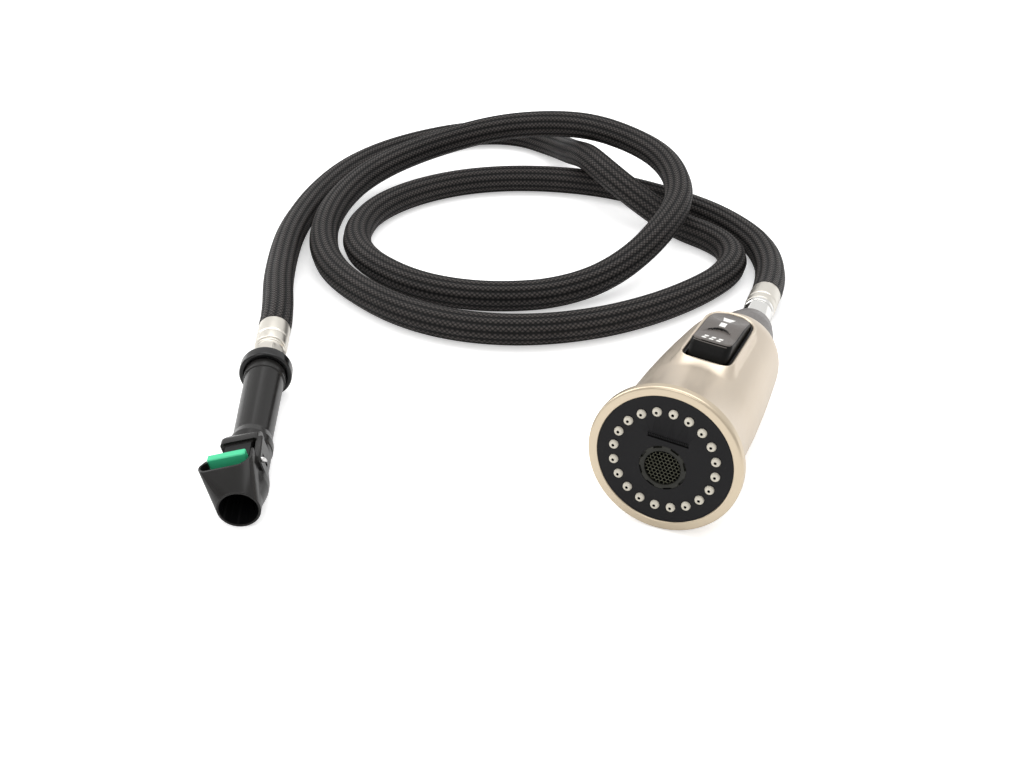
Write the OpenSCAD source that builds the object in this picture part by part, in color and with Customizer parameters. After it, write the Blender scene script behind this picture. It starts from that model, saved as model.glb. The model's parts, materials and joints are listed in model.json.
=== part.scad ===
// Pull-out handheld bath sprayer: a two-function spray head on a braided hose with a
// push-on supply connector at the far end. Millimetres, +Z up, the floor at z = 0.
// The head's axis lies in the YZ plane with its face towards -Y. The origin is on the
// floor under the middle of the spray head.

/* [Spray head] */
// Outer diameter of the rim around the spray face
rim_d = 55.4; // [53:0.1:58]
// Width of the metal ring that shows around the black face
rim_w = 3.5; // [2.8:0.1:4.2]
// Depth of the face ring from its front to the shell
rim_depth = 4; // [3.6:0.1:5]
// Length of the head from the rim to the back of the shell
shell_l = 101; // [98:0.5:106]
// How far the shell right behind the face ring stands in from the rim
flare_in = 1.3; // [0.8:0.1:2]
// How far the shell's waist stands in from the rim
waist_in = 4.4; // [3.6:0.1:4.8]
// Distance of the waist behind the rim
waist_l = 30; // [26:0.5:34]
// Radius of the shell at its back shoulder
shoulder_r = 20.1; // [19.6:0.1:21]
// Distance of the back shoulder behind the rim
shoulder_l = 84; // [80:0.5:88]
// Radius of the flat back end of the shell
back_r = 13.6; // [13.4:0.1:15]
// Wall of the metal shell
shell_wall = 1.8; // [1.4:0.1:2.2]
// Turn of the head about its own axis as it lies on the floor
head_roll = 5; // [0:1:12]

/* [Face and nozzles] */
// Thickness of the black face plate
plate_t = 2.2; // [1.8:0.1:2.6]
// How far the face plate sits behind the front of the rim
plate_in = 0.4; // [0.2:0.1:0.6]
// Number of spray nozzles
nozzle_n = 20; // [16:1:24]
// Diameter of the nozzle circle
nozzle_pcd = 36.7; // [35.5:0.1:38]
// Diameter of a nozzle where it leaves the plate
nozzle_d = 3.3; // [2.8:0.1:3.6]
// How far a nozzle stands out of the plate
nozzle_out = 1.2; // [0.8:0.1:1.6]
// Bore of a nozzle
nozzle_bore = 0.9; // [0.7:0.1:1.2]
// Thickness of the rubber nozzle mat behind the plate
mat_t = 1.7; // [1.4:0.1:2.2]
// Length of the slot for the flat jet
slot_l = 14.7; // [12:0.1:16]
// Height of the slot above the middle of the face
slot_up = 7.6; // [7.2:0.1:8.4]

/* [Aerator] */
// Diameter of the aerator cage
aerator_d = 16.8; // [16:0.1:17.4]
// Diameter of the honeycomb screen
screen_d = 13; // [12.4:0.1:13.4]
// Distance between the honeycomb cells
cell_pitch = 1.35; // [1.25:0.05:1.5]
// Web between two honeycomb cells
cell_web = 0.32; // [0.25:0.01:0.4]
// How far the aerator lies below the middle of the face
aerator_down = 3.1; // [2.8:0.1:3.3]
// Length of the aerator cage
aerator_l = 11; // [9:0.5:12]
// Number of key notches around the aerator cage
notch_n = 8; // [6:1:10]

/* [Rocker] */
// Width of the rocker button
rocker_w = 15.2; // [14.6:0.1:16]
// Distance of the rocker's pin behind the rim
pivot_l = 57; // [56:0.5:58]
// Height of the rocker's pin above the head's axis
pivot_h = 19; // [18.6:0.1:19.4]
// Reach of the rocker in front of its pin
rocker_front = 21; // [20:0.1:21.6]
// Reach of the rocker behind its pin
rocker_back = 18.5; // [17.5:0.1:19]
// Height of the rocker's top above its pin
rocker_top = 8.1; // [7.6:0.1:8.8]
// Half of the rocker's swing
rocker_swing = 7.4; // [6:0.1:8]
// Diameter of the rocker's pin
pin_d = 2.5; // [2:0.1:3]
// How far the flat pad around the rocker stands above the waist
pad_up = 0.7; // [0.5:0.1:1.2]
// Margin of the flat pad around the rocker's pocket
pad_margin = 1.2; // [1:0.1:1.6]

/* [Waterway] */
// Radius of the waterway body behind the spray chamber
core_r = 11; // [10.4:0.1:11.4]
// Radius of the threaded spigot that the inlet collar screws on
spigot_r = 10; // [9.6:0.1:10.2]
// Length of the spigot behind the shell
spigot_out = 9; // [8:0.5:10]
// Radius of the diverter spool
spool_r = 4; // [3.6:0.1:4.2]
// Length of the diverter spool
spool_l = 26; // [24:0.5:27]
// Length of the dark collar behind the shell
collar_l = 23; // [22:0.5:26]

/* [Hose] */
// Diameter of the braided hose
hose_d = 14; // [13:0.1:14]
// Number of sides of the hose's plain tube
hose_sides = 10; // [8:1:12]
// Radius of the stem in the head's inlet
stem_r = 5.05; // [4.8:0.05:5.2]
// Bore of the stem
stem_bore = 6.4; // [5.6:0.1:6.8]
// Length of the chrome swivel nut
nut_l = 17.4; // [16:0.2:20]
// Radius of the chrome swivel nut
nut_r = 6.6; // [6.2:0.1:6.8]
// Sideways turn of the hose's end behind the collar
bend_turn = 5; // [0:0.5:6]
// Further dip of the hose's end behind the collar
bend_dip = 2.6; // [0:0.2:3]
// Length of the ferrule at the spray head
ferrule_l = 20; // [18:0.5:22]
// Length of the ferrule at the connector
tail_ferrule_l = 16.2; // [15:0.2:18]
// Radius of a crimped ferrule
ferrule_r = 6.8; // [6.6:0.1:7]

/* [Connector] */
// Bore of the connector's socket
socket_d = 13.8; // [13.4:0.1:14]
// Depth of the connector's socket
socket_l = 27; // [26:0.5:28]
// Depth of the socket's wide part, in front of its narrower seal bore
guide_l = 18; // [17:0.5:18]
// Radius of the connector's mouth
mouth_r = 7.8; // [7.6:0.1:8.2]
// Radius of the shoulder behind the latch
shoulder_ring_r = 8.4; // [8.3:0.1:9]
// Distance of the shoulder behind the mouth
ring_l = 35; // [34.5:0.5:36]
// Distance of the stop flange behind the mouth
flange_at = 84; // [80:0.5:88]
// Radius of the stop flange
flange_r = 10.6; // [10.2:0.1:11]
// Length of the stop flange
flange_l = 5.8; // [5:0.2:8]
// Across flats of the hex fitting
hex_af = 12.4; // [12:0.1:12.8]
// Length of the hex fitting
fitting_l = 13.6; // [13:0.2:15]
// Width of the latch's front lip
lip_w = 19.6; // [18:0.1:20]
// Height of the latch's front lip above the connector's axis
lip_h = 12.5; // [12.2:0.1:13]
// Distance of the latch's front lip behind the mouth
lip_at = 8.6; // [8:0.1:9.6]
// Sideways shift of the lip and the lock slide
lip_shift = -2.4; // [-3:0.1:-1.6]
// Width of the green lock slide
slide_w = 14; // [13.4:0.1:14.4]
// Travel of the green lock slide
slide_travel = 2.4; // [1.8:0.1:2.6]
// Turn of the connector about its own axis as it lies on the floor
conn_roll = -12; // [-20:1:0]
// Turn of the connector's axis from the head's axis on the floor
conn_az = 26.5; // [25:0.5:29]

/* [Hidden] */
$fn = 64;

run_gap = 0.05;      // running fit of turned parts, on the radius
free_gap = 0.4;      // air around the rocker and the lock slide
seat_gap = 0.1;      // play between parts that are screwed or pressed together

// Face and ring
rim_r = rim_d / 2;
flare_r = rim_r - flare_in;
waist_r = rim_r - waist_in;
face_r = rim_r - rim_w;
ledge_r = face_r - 1.7;
plate_back = plate_in + plate_t;
mat_back = plate_back + mat_t;
skirt_r = ledge_r + 1.2;
skirt_back = rim_depth + 5;
cup_r = ledge_r - seat_gap;
cage_front = 0.2;
cage_back = cage_front + aerator_l;
socket_back = cage_back + 1.65;
cup_l = socket_back + 2;
aerator_r = aerator_d / 2;

// Head on the floor: the rim and the back shoulder both touch it
tilt = atan((rim_r - shoulder_r) / (shoulder_l - rim_depth + 0.5));
head_z = rim_r * cos(tilt) + (rim_depth - 0.5) * sin(tilt);
collar_end = shell_l + collar_l;
collar_end_r = back_r - 6.3;
head_front = -(nozzle_out - plate_in) * cos(tilt)
    - (nozzle_pcd + nozzle_d - 1.1) / 2 * sin(tilt);
head_y = -(collar_end * cos(tilt) + collar_end_r * sin(tilt) + head_front) / 2;

// Rocker and its pocket
pad_h = waist_r + pad_up;
rocker_lean = 1.8;   // the top edge of the rocker's front stands this far back
rocker_base = 2.5;   // height of the front's foremost line above the pin
swing_r = max(norm([rocker_front, rocker_base]), norm([rocker_front - rocker_lean, rocker_top]));
frame_in_front = pivot_l - swing_r - free_gap;
frame_in_back = pivot_l + norm([rocker_back, rocker_top]) + free_gap;
frame_in_w = rocker_w + 2 * free_gap;
frame_t = 0.7;
pocket_front = frame_in_front - frame_t - run_gap;
pocket_back = frame_in_back + frame_t + run_gap;
pocket_w = frame_in_w + 2 * (frame_t + run_gap);
frame_floor = core_r + 1.2;
lever_r = pivot_h - 3;
spool_throw = lever_r * sin(rocker_swing);
spool_at = pivot_l - spool_throw;
lever_t = 2.4;
lever_w = 3;
dish_r = 20;         // thumb dish in the rocker's back half
dish_in = 8.5;
dish_depth = 0.5;

// Waterway along the head's axis
rib_t = 1.8;
rib_end = shoulder_l - 8;
rib_step = 6;
feed_r = 4;          // bore behind the aerator
jet_feed_r = 1.6;    // the two bores that feed the spray chamber
jet_feed_x = 7.4;
jet_feed_h = 6;
main_bore = 2.6;
spigot_end = shell_l + spigot_out;
flange_gap = 0.3;
stem_flange_t = 2.4;
collar_shoulder = spigot_end + 2 * flange_gap + stem_flange_t;
stem_nose = 88.3;
stem_grooves = [92.9, 97.9];
stem_groove_w = 1.8;
spool_grooves = [5, 10];
poppet_stem_r = 1;
spool_bore_front = pivot_l - spool_l / 2 - spool_throw - 2;
spool_bore_back = pivot_l + spool_l / 2 + spool_throw + 2;
valve_back = stem_nose - 0.3;
valve_l = 10;
valve_r = 4.55;
valve_front = valve_back - valve_l;
poppet_seat = valve_back - 1.6 - run_gap;
bend_at = collar_end + 0.6;
nut_front = bend_at + 1;
nut_end = nut_front + nut_l;
ferrule_end = nut_end + ferrule_l;

// Connector on the floor: the mouth and the stop flange both touch it
conn_tilt = atan((flange_r - mouth_r) / flange_at);
conn_z = mouth_r * cos(conn_tilt);
conn_at = [-134.4, -121.2];
socket_r = socket_d / 2;
swell_r = 9.2;
swell_l = 13;
barrel_r = 8.1;
tube_front_r = 7.4;
tube_back_r = 7.85;
collar_step_r = 8.4;
tail_r = 6;
tail_bore = 3.2;
fitting_at = flange_at + flange_l;
tail_ferrule_at = fitting_at + fitting_l;
conn_end = tail_ferrule_at + tail_ferrule_l;
hex_l = 9.6;
barb_l = 20;
barb_r = 5;
box_w = 14.2;
box_front = 26;
box_flat = 3.4;      // depth of the box's flat top, behind which it slopes down
box_h = 11;
box_in_back = box_front + box_flat + 0.6;
slide_h = 8.4;
slide_top = 13;
slide_front = 14.5;
slide_t = 3.2;
tongue_w = 9.8;
tongue_t = 1.2;
tongue_end = box_in_back - slide_travel - 0.3;
spring_at = 21.5;
spring_w = 2.2;
clip_at = 19.4;
clip_h = 4.4;
clip_wire = 0.6;
clip_out = 9.8;

// The hose's middle line, from the head's ferrule to the connector's ferrule
HOSE_POINTS = [
    [-5, 117, 9], [-7, 127, 8], [-10, 138, 7], [-15, 149, 7], [-22, 160, 7], [-32, 169, 7],
    [-44, 178, 7], [-60, 186, 7], [-84, 193, 7], [-111, 197, 7], [-138, 194, 7],
    [-164, 185, 7], [-187, 169, 7], [-204, 146, 7], [-212, 120, 7], [-209, 95, 7],
    [-197, 74, 7], [-175, 60, 7], [-150, 53, 7], [-123, 56, 7], [-99, 68, 7], [-80, 86, 9],
    [-68, 108, 14], [-62, 132, 20], [-62, 157, 23], [-70, 178, 26], [-84, 195, 29],
    [-104, 206, 31], [-129, 211, 33], [-155, 210, 31], [-180, 204, 27], [-202, 194, 21],
    [-218, 177, 17], [-229, 154, 14], [-232, 128, 12], [-228, 100, 10], [-217, 74, 8],
    [-198, 52, 7], [-173, 37, 7], [-145, 28, 7], [-117, 28, 7], [-90, 37, 7], [-65, 55, 7],
    [-46, 78, 7], [-34, 100, 7], [-28, 116, 7], [-26, 130, 7], [-29, 143, 7], [-38, 153, 7],
    [-50, 159, 7], [-63, 163, 7], [-74, 167, 10], [-84, 169, 14], [-94, 172, 18],
    [-104, 177, 21], [-115, 185, 23], [-126, 197, 22], [-139, 212, 16], [-153, 230, 10],
    [-167, 241, 7], [-183, 246, 7], [-201, 243, 7], [-219, 230, 7], [-235, 209, 7],
    [-246, 185, 7], [-251, 159, 7], [-250, 131, 7], [-245, 103, 7], [-236, 75, 8],
    [-223, 47, 9], [-208, 20, 11]];

// ---------------------------------------------------------------- helpers

// Revolves a profile of [radius, distance behind the rim or mouth] points about the Y axis
module spin(points, sides = 96) {
    rotate([-90, 0, 0]) rotate_extrude($fn = sides) polygon(points);
}

// A plain tube about the Y axis
module sleeve(r_out, r_in, from, to) {
    spin([[r_in, from], [r_out, from], [r_out, to], [r_in, to]]);
}

// A solid rod about the Y axis
module rod(r, from, to) {
    translate([0, from, 0]) rotate([-90, 0, 0]) cylinder(r = r, h = to - from, $fn = 64);
}

// A ring of round section about the Y axis
module o_ring(r_mid, r_wire, at) {
    translate([0, at, 0]) rotate([-90, 0, 0]) rotate_extrude($fn = 64)
        translate([r_mid, 0]) circle(r = r_wire, $fn = 24);
}

// Plan of the rocker: square front with rounded corners and a round back
module rocker_plan(width, front, back, corner = 2.4) {
    translate([0, back - width / 2]) circle(d = width, $fn = 64);
    translate([-width / 2, front + corner])
        square([width, back - width / 2 - front - corner]);
    translate([-width / 2 + corner, front]) square([width - 2 * corner, corner + 1]);
    for (side = [-1, 1]) translate([side * (width / 2 - corner), front + corner])
        circle(r = corner, $fn = 32);
}

// A prism that stands on such a plan
module rocker_prism(width, front, back, low, high, corner = 2.4) {
    translate([0, 0, low]) linear_extrude(height = high - low)
        rocker_plan(width, front, back, corner);
}

// Places the spray head's pieces on the floor
module on_head() {
    translate([0, head_y, head_z]) rotate([-tilt, 0, 0]) rotate([0, head_roll, 0])
        children();
}

// Places the pieces of the hose's end, which do not turn with the head
module on_inlet() {
    translate([0, head_y, head_z]) rotate([-tilt, 0, 0]) children();
}

// Places the pieces behind the bend of the hose's end
module on_bend() {
    on_inlet() translate([0, bend_at, 0]) rotate([-bend_dip, 0, bend_turn])
        translate([0, -bend_at, 0]) children();
}

// Places the connector's pieces on the floor
module on_connector() {
    translate([conn_at[0], conn_at[1], conn_z]) rotate([0, 0, conn_az])
        rotate([conn_tilt, 0, 0]) rotate([0, conn_roll, 0]) children();
}

// Turns the rocker's pieces about their pin
module on_rocker() {
    translate([0, pivot_l, pivot_h]) rotate([-rocker_swing, 0, 0])
        translate([0, -pivot_l, -pivot_h]) children();
}

// Faces of a tube with `rings` rings of `sides` points and flat ends
function tube_faces(rings, sides) = concat(
    [for (i = [0 : rings - 2], j = [0 : sides - 1])
        [i * sides + j, i * sides + (j + 1) % sides, (i + 1) * sides + (j + 1) % sides]],
    [for (i = [0 : rings - 2], j = [0 : sides - 1])
        [i * sides + j, (i + 1) * sides + (j + 1) % sides, (i + 1) * sides + j]],
    [[for (j = [sides - 1 : -1 : 0]) j]],
    [[for (j = [0 : sides - 1]) (rings - 1) * sides + j]]);

function unit(v) = v / norm(v);

// Direction of a route at point i, from its neighbours
function heading(p, i) = i == 0 ? unit(p[1] - p[0])
    : i == len(p) - 1 ? unit(p[i] - p[i - 1])
    : unit(unit(p[i + 1] - p[i]) + unit(p[i] - p[i - 1]));

// Points of one ring, square to the route
function ring_points(c, dir, r, sides) =
    let (side = unit(cross([0, 0, 1], dir)), up = cross(dir, side))
    [for (j = [0 : sides - 1]) let (a = 360 * j / sides)
        c + r * (cos(a) * side + sin(a) * up)];

module tube_along(p, r, sides) {
    polyhedron(points = [for (i = [0 : len(p) - 1])
                         each ring_points(p[i], heading(p, i), r, sides)],
               faces = tube_faces(len(p), sides));
}

// Points of a coil about the Y axis
function coil_points(r, wire, from, to, turns, steps) =
    [for (i = [0 : turns * steps]) let (a = 360 * i / steps, n = turns * steps)
        [r * cos(a), from + wire + (to - from - 2 * wire) * i / n, r * sin(a)]];

module coil(r, wire, from, to, turns, steps = 12) {
    polyhedron(points = [for (c = coil_points(r, wire, from, to, turns, steps))
                         let (out = unit([c[0], 0, c[2]]))
                         for (j = [0 : 5]) let (a = 60 * j)
                         c + wire * (cos(a) * out + sin(a) * [0, 1, 0])],
               faces = tube_faces(turns * steps + 1, 6));
}

// ---------------------------------------------------------------- spray head

// Radius of the shell at a distance behind the rim: flare, taper and rounded back
function shell_r(l) = l < waist_l
    ? waist_r + (flare_r - waist_r) * pow((waist_l - l) / (waist_l - rim_depth), 2.2)
    : l < shoulder_l
    ? waist_r - (waist_r - shoulder_r) * pow((l - waist_l) / (shoulder_l - waist_l), 1.6)
    : shoulder_r - (shoulder_r - back_r)
        * pow((l - shoulder_l) / (shell_l - shoulder_l), 1.8);

// How far a point of the plan lies outside the flat pad around the rocker
function pad_distance(x, l) =
    let (half = pocket_w / 2 + pad_margin, front = pocket_front - pad_margin,
         mid = pocket_back + pad_margin - half,
         out_x = max(0, abs(x) - half), out_l = max(0, front - l))
    l > mid ? max(0, norm([x, l - mid]) - half) : norm([out_x, out_l]);

pad_blend = 3;       // width of the hollow that leads from the shell to the pad
function smooth(t) = t <= 0 ? 0 : t >= 1 ? 1 : t * t * (3 - 2 * t);

// Radius of the shell in a direction from the top, with the flat pad blended in
function skin_r(l, a) =
    let (base = shell_r(l), turn = min(abs(a), 360 - abs(a)))
    turn > 50 ? base
    : let (flat = pad_h / cos(turn),
           near = smooth(1 - pad_distance(pad_h * tan(turn), l) / pad_blend))
      base + near * max(0, flat - base);

SKIN_STATIONS = concat([rim_depth, 6, 8.5, 12, 16, 20, 24],
    [for (k = [0 : 6]) pocket_front - pad_margin - pad_blend - 1 + k],
    [for (k = [1 : 5]) pocket_front + 2 + k * 5.5],
    [for (k = [0 : 8]) pocket_back + pad_margin - 9 + k * 1.5],
    [for (t = [20 : 14 : 90]) shoulder_l + (shell_l - shoulder_l) * sin(t)]);
SKIN_TURNS = concat([for (a = [-33 : 2.75 : 33]) a], [for (a = [43 : 10.5 : 317]) a]);

// Outer skin of the shell as one closed loft
module skin() {
    n = len(SKIN_TURNS);
    polyhedron(points = [for (l = SKIN_STATIONS, a = SKIN_TURNS)
                         let (r = skin_r(l, a)) [r * sin(a), l, r * cos(a)]],
               faces = tube_faces(len(SKIN_STATIONS), n));
}

module head_shell() {
    color([0.84, 0.80, 0.72]) on_head() difference() {
        skin();
        // front bore for the ring's skirt, then the hollow that follows the skin
        spin(concat([[0, rim_depth - 1], [skirt_r + seat_gap, rim_depth - 1],
                     [skirt_r + seat_gap, skirt_back + 1]],
                    [for (l = [skirt_back + 3 : 8 : shoulder_l + 4])
                        [shell_r(l) - shell_wall, l]],
                    [[back_r - 0.5, shell_l - shell_wall], [0, shell_l - shell_wall]]));
        rod(spigot_r + 0.3, shell_l - 3, shell_l + 1);
        rocker_prism(pocket_w, pocket_front, pocket_back, core_r + 1, rim_r + 2);
    }
}

module face_ring() {
    color([0.86, 0.81, 0.73]) on_head() spin([
        [face_r + run_gap, 0.3], [face_r + 0.4, 0], [rim_r - 0.8, 0], [rim_r - 0.2, 0.25],
        [rim_r, 0.9], [rim_r, rim_depth - 0.5], [flare_r, rim_depth],
        [skirt_r, rim_depth], [skirt_r, skirt_back], [ledge_r, skirt_back],
        [ledge_r, plate_back], [face_r + run_gap, plate_back]]);
}

// Places copies around the nozzle circle
module around_nozzles() {
    for (i = [0 : nozzle_n - 1]) rotate([0, i * 360 / nozzle_n, 0])
        translate([0, 0, nozzle_pcd / 2]) children();
}

module face_plate() {
    tooth = slot_l / 24;
    color([0.13, 0.13, 0.14]) on_head() difference() {
        rod(face_r, plate_in, plate_back);
        around_nozzles() rod(nozzle_d / 2 + run_gap, plate_in - 1, plate_back + 1);
        translate([0, 0, -aerator_down])
            rod(aerator_r + run_gap, plate_in - 1, plate_back + 1);
        // flat jet slot and the toothed hollow above it
        translate([-slot_l / 2, plate_in - 1, slot_up - 0.35])
            cube([slot_l, plate_t + 2, 0.7]);
        for (i = [0 : 23]) translate([-slot_l / 2 + i * tooth, plate_in, slot_up + 0.3])
            rotate([45, 0, 0]) cube([tooth * 0.6, 0.9, 0.9]);
    }
}

module nozzle_mat() {
    tip = plate_in - nozzle_out;
    color([0.72, 0.70, 0.66]) on_head() difference() {
        union() {
            rod(cup_r, plate_back, mat_back);
            around_nozzles() spin([
                [0, tip], [nozzle_d / 2 - 0.55, tip], [nozzle_d / 2 - 0.25, tip + 0.3],
                [nozzle_d / 2, plate_in], [nozzle_d / 2, plate_back + 0.2],
                [0, plate_back + 0.2]], 24);
        }
        around_nozzles() rod(nozzle_bore / 2, tip - 1, mat_back + 1);
        translate([0, 0, -aerator_down])
            rod(aerator_r + 0.1, plate_back - 1, mat_back + 1);
        translate([-slot_l / 2, plate_back - 1, slot_up - 0.35])
            cube([slot_l, mat_t + 2, 0.7]);
    }
}

module aerator_cage() {
    color([0.2, 0.2, 0.18]) on_head() translate([0, 0, -aerator_down]) difference() {
        spin([[screen_d / 2 + run_gap, cage_front], [aerator_r - 0.3, cage_front],
              [aerator_r, cage_front + 0.3], [aerator_r, mat_back],
              [aerator_r - 0.4, mat_back], [aerator_r - 0.4, cage_back],
              [2, cage_back], [2, cage_back - 1.2], [screen_d / 2 - 0.6, cage_back - 1.2],
              [screen_d / 2 - 0.6, cage_front + 2.2], [screen_d / 2 + run_gap,
              cage_front + 2.2]]);
        for (i = [0 : notch_n - 1]) rotate([0, (i + 0.5) * 360 / notch_n, 0])
            translate([-1.6, cage_front - 1, aerator_r - 0.75]) cube([3.2, 2, 2]);
        for (i = [0 : 5]) rotate([0, i * 60, 0]) translate([0, 0, 4])
            rod(1, cage_back - 2, cage_back + 1);
    }
}

module aerator_screen() {
    row = cell_pitch * sqrt(3) / 2;
    edge = screen_d / 2 - 0.55;
    dots = [for (i = [0 : 2]) 3.1 * [sin(120 * i + 40), cos(120 * i + 40)]];
    color([0.25, 0.25, 0.22]) on_head() translate([0, 0, -aerator_down]) difference() {
        rod(screen_d / 2, cage_front + 0.9, cage_front + 2.2);
        for (j = [-6 : 6], i = [-6 : 6])
            let (c = [(i + (j % 2 == 0 ? 0 : 0.5)) * cell_pitch, j * row])
            if (norm(c) + cell_pitch / 2 < edge && norm(c) > cell_pitch * 0.6
                && min([for (d = dots) norm(c - d)]) > cell_pitch * 0.52)
                translate([c[0], cage_front, c[1]]) rotate([-90, 0, 0])
                    cylinder(d = (cell_pitch - cell_web) * 2 / sqrt(3), h = 4, $fn = 6);
    }
}

module aerator_seal() {
    color([0.1, 0.1, 0.1]) on_head() translate([0, 0, -aerator_down])
        sleeve(aerator_r - 0.5, aerator_r - 2.6, cage_back + run_gap, cage_back + 1.6);
}

module waterway_core() {
    socket_in = aerator_r + 0.1;
    color([0.3, 0.3, 0.32]) on_head() difference() {
        union() {
            // spray chamber behind the nozzle mat
            spin([[cup_r - 1.6, mat_back], [cup_r, mat_back], [cup_r, cup_l],
                  [0, cup_l], [0, socket_back], [cup_r - 1.6, socket_back]]);
            translate([0, 0, -aerator_down]) sleeve(socket_in + 1.8, socket_in,
                                                    mat_back, cup_l - 1);
            rod(core_r, cup_l - 0.5, shell_l - shell_wall - seat_gap);
            rod(spigot_r, shell_l - 3, spigot_end);
            // ribs that hold the body in the middle of the shell
            for (a = [60, 180, 300]) rotate([0, a, 0]) translate([-rib_t / 2, 0, 0])
                rotate([90, 0, 90]) linear_extrude(height = rib_t) polygon(concat(
                    [[rib_end, core_r - 1], [cup_l - 1, core_r - 1]],
                    [for (l = [cup_l - 1 : rib_step : rib_end])
                        [l, shell_r(l) - shell_wall - 0.3]]));
        }
        // aerator feed, spray feed, spool bore, valve seat and stem socket
        translate([0, 0, -aerator_down]) rod(feed_r, socket_back, cup_l + feed_r + 2);
        for (side = [-1, 1]) translate([side * jet_feed_x, 0, jet_feed_h])
            rod(jet_feed_r, socket_back - 1, cup_l + feed_r + 4);
        rod(main_bore, cup_l + feed_r, stem_nose);
        rod(spool_r + run_gap, spool_bore_front, spool_bore_back);
        rod(valve_r + run_gap, valve_front - 2.5, stem_nose);
        rod(stem_r + run_gap, stem_nose - 0.3, spigot_end + 1);
        // slot for the rocker's lever
        translate([-lever_w / 2 - 0.5, pivot_l - 3.8, 0])
            cube([lever_w + 1, 7.6, core_r + 2]);
    }
}

module rocker_frame() {
    color([0.12, 0.12, 0.13]) on_head() difference() {
        rocker_prism(frame_in_w + 2 * frame_t, frame_in_front - frame_t,
                     frame_in_back + frame_t, frame_floor, pad_h - 0.9);
        rocker_prism(frame_in_w, frame_in_front, frame_in_back, frame_floor + 1,
                     pad_h + 1, 1.6);
        translate([-lever_w / 2 - 0.5, pivot_l - 3.8, frame_floor - 1])
            cube([lever_w + 1, 7.6, 3]);
        translate([-rocker_w, pivot_l, pivot_h]) rotate([0, 90, 0])
            cylinder(d = pin_d, h = 2 * rocker_w, $fn = 48);
    }
}

module rocker_pin() {
    pin_l = frame_in_w + 2 * frame_t - 0.2;
    color([0.75, 0.75, 0.77]) on_head() translate([-pin_l / 2, pivot_l, pivot_h])
        rotate([0, 90, 0]) cylinder(d = pin_d, h = pin_l, $fn = 48);
}

module rocker_button() {
    base = pivot_l - rocker_front;
    front = base + rocker_lean;
    back = pivot_l + rocker_back;
    top = pivot_h + rocker_top;
    low = pivot_h - 2.5;
    ridge = pivot_l + 3.5;
    color([0.16, 0.16, 0.17]) on_head() on_rocker() difference() {
        union() {
            intersection() {
                rocker_prism(rocker_w, base, back, low, top + 2);
                // side outline: lower front pad, ridge and dished back
                translate([-rocker_w, 0, 0]) rotate([90, 0, 90])
                    linear_extrude(height = 2 * rocker_w) polygon([
                        [base, low], [base, pivot_h + rocker_base],
                        [front - 0.3, top - 1.1], [front + 0.8, top],
                        [ridge - 4, top - 0.5], [ridge, top + 1], [back - 5, top + 0.3],
                        [back - 1.2, top - 0.2], [back, top - 1.4], [back, low]]);
            }
            translate([-lever_w / 2, pivot_l - lever_t / 2, pivot_h - lever_r - 0.8])
                cube([lever_w, lever_t, lever_r]);
        }
        translate([-rocker_w, pivot_l, pivot_h]) rotate([0, 90, 0])
            cylinder(d = pin_d + 2 * run_gap, h = 2 * rocker_w, $fn = 48);
        // thumb dish in the back half
        translate([0, back - dish_in, top + dish_r - dish_depth])
            sphere(r = dish_r, $fn = 96);
    }
}

module diverter_spool() {
    half = spool_l / 2;
    neck = lever_t / 2 + 0.5;
    color([0.85, 0.85, 0.82]) on_head() translate([0, spool_at, 0]) difference() {
        spin([[0, -half], [spool_r - 0.5, -half], [spool_r, -half + 0.5],
              [spool_r, -neck], [1.7, -neck], [1.7, neck], [spool_r, neck],
              [spool_r, half - 0.5], [spool_r - 0.5, half], [0, half]], 64);
        for (side = [-1, 1], d = spool_grooves) translate([0, side * d, 0])
            sleeve(spool_r + 1, spool_r - 1.3, -0.75, 0.75);
    }
}

module spool_seals() {
    color([0.08, 0.08, 0.08]) on_head() translate([0, spool_at, 0])
        for (side = [-1, 1], d = spool_grooves) o_ring(spool_r - 0.62, 0.65, side * d);
}

module check_valve_cage() {
    color([0.9, 0.9, 0.88]) on_head() difference() {
        rod(valve_r, valve_front, valve_back);
        rod(valve_r - 0.95, valve_front + 1.2, valve_back - 1.6);
        rod(2, valve_back - 3, valve_back + 1);
        rod(poppet_stem_r + run_gap, valve_front - 1, valve_back);
        for (i = [0 : 2]) rotate([0, i * 120, 0]) translate([0, 0, 2.45])
            rod(0.75, valve_front - 1, valve_front + 2);
    }
}

module check_valve_poppet() {
    color([0.85, 0.3, 0.2]) on_head() spin([
        [0, valve_front - 1.8], [poppet_stem_r, valve_front - 1.8],
        [poppet_stem_r, poppet_seat - 1.6],
        [3.1, poppet_seat - 1.2], [3.1, poppet_seat], [0, poppet_seat]], 48);
}

module check_valve_spring() {
    color([0.7, 0.7, 0.72]) on_head()
        coil(1.75, 0.25, valve_front + 1.25, poppet_seat - 1.65, 4);
}

module inlet_collar() {
    color([0.3, 0.29, 0.29]) on_head() spin([
        [spigot_r + run_gap, shell_l], [back_r - 0.6, shell_l],
        [back_r - 0.4, shell_l + 2.5], [back_r - 1.6, shell_l + collar_l * 0.5],
        [back_r - 2.7, shell_l + collar_l * 0.85], [back_r - 3.4, shell_l + collar_l * 0.92],
        [back_r - 4.8, shell_l + collar_l * 0.97], [collar_end_r, collar_end],
        [stem_r + 0.35, collar_end], [stem_r + 0.35, collar_shoulder],
        [spigot_r + run_gap, collar_shoulder]]);
}

// ---------------------------------------------------------------- hose

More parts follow.
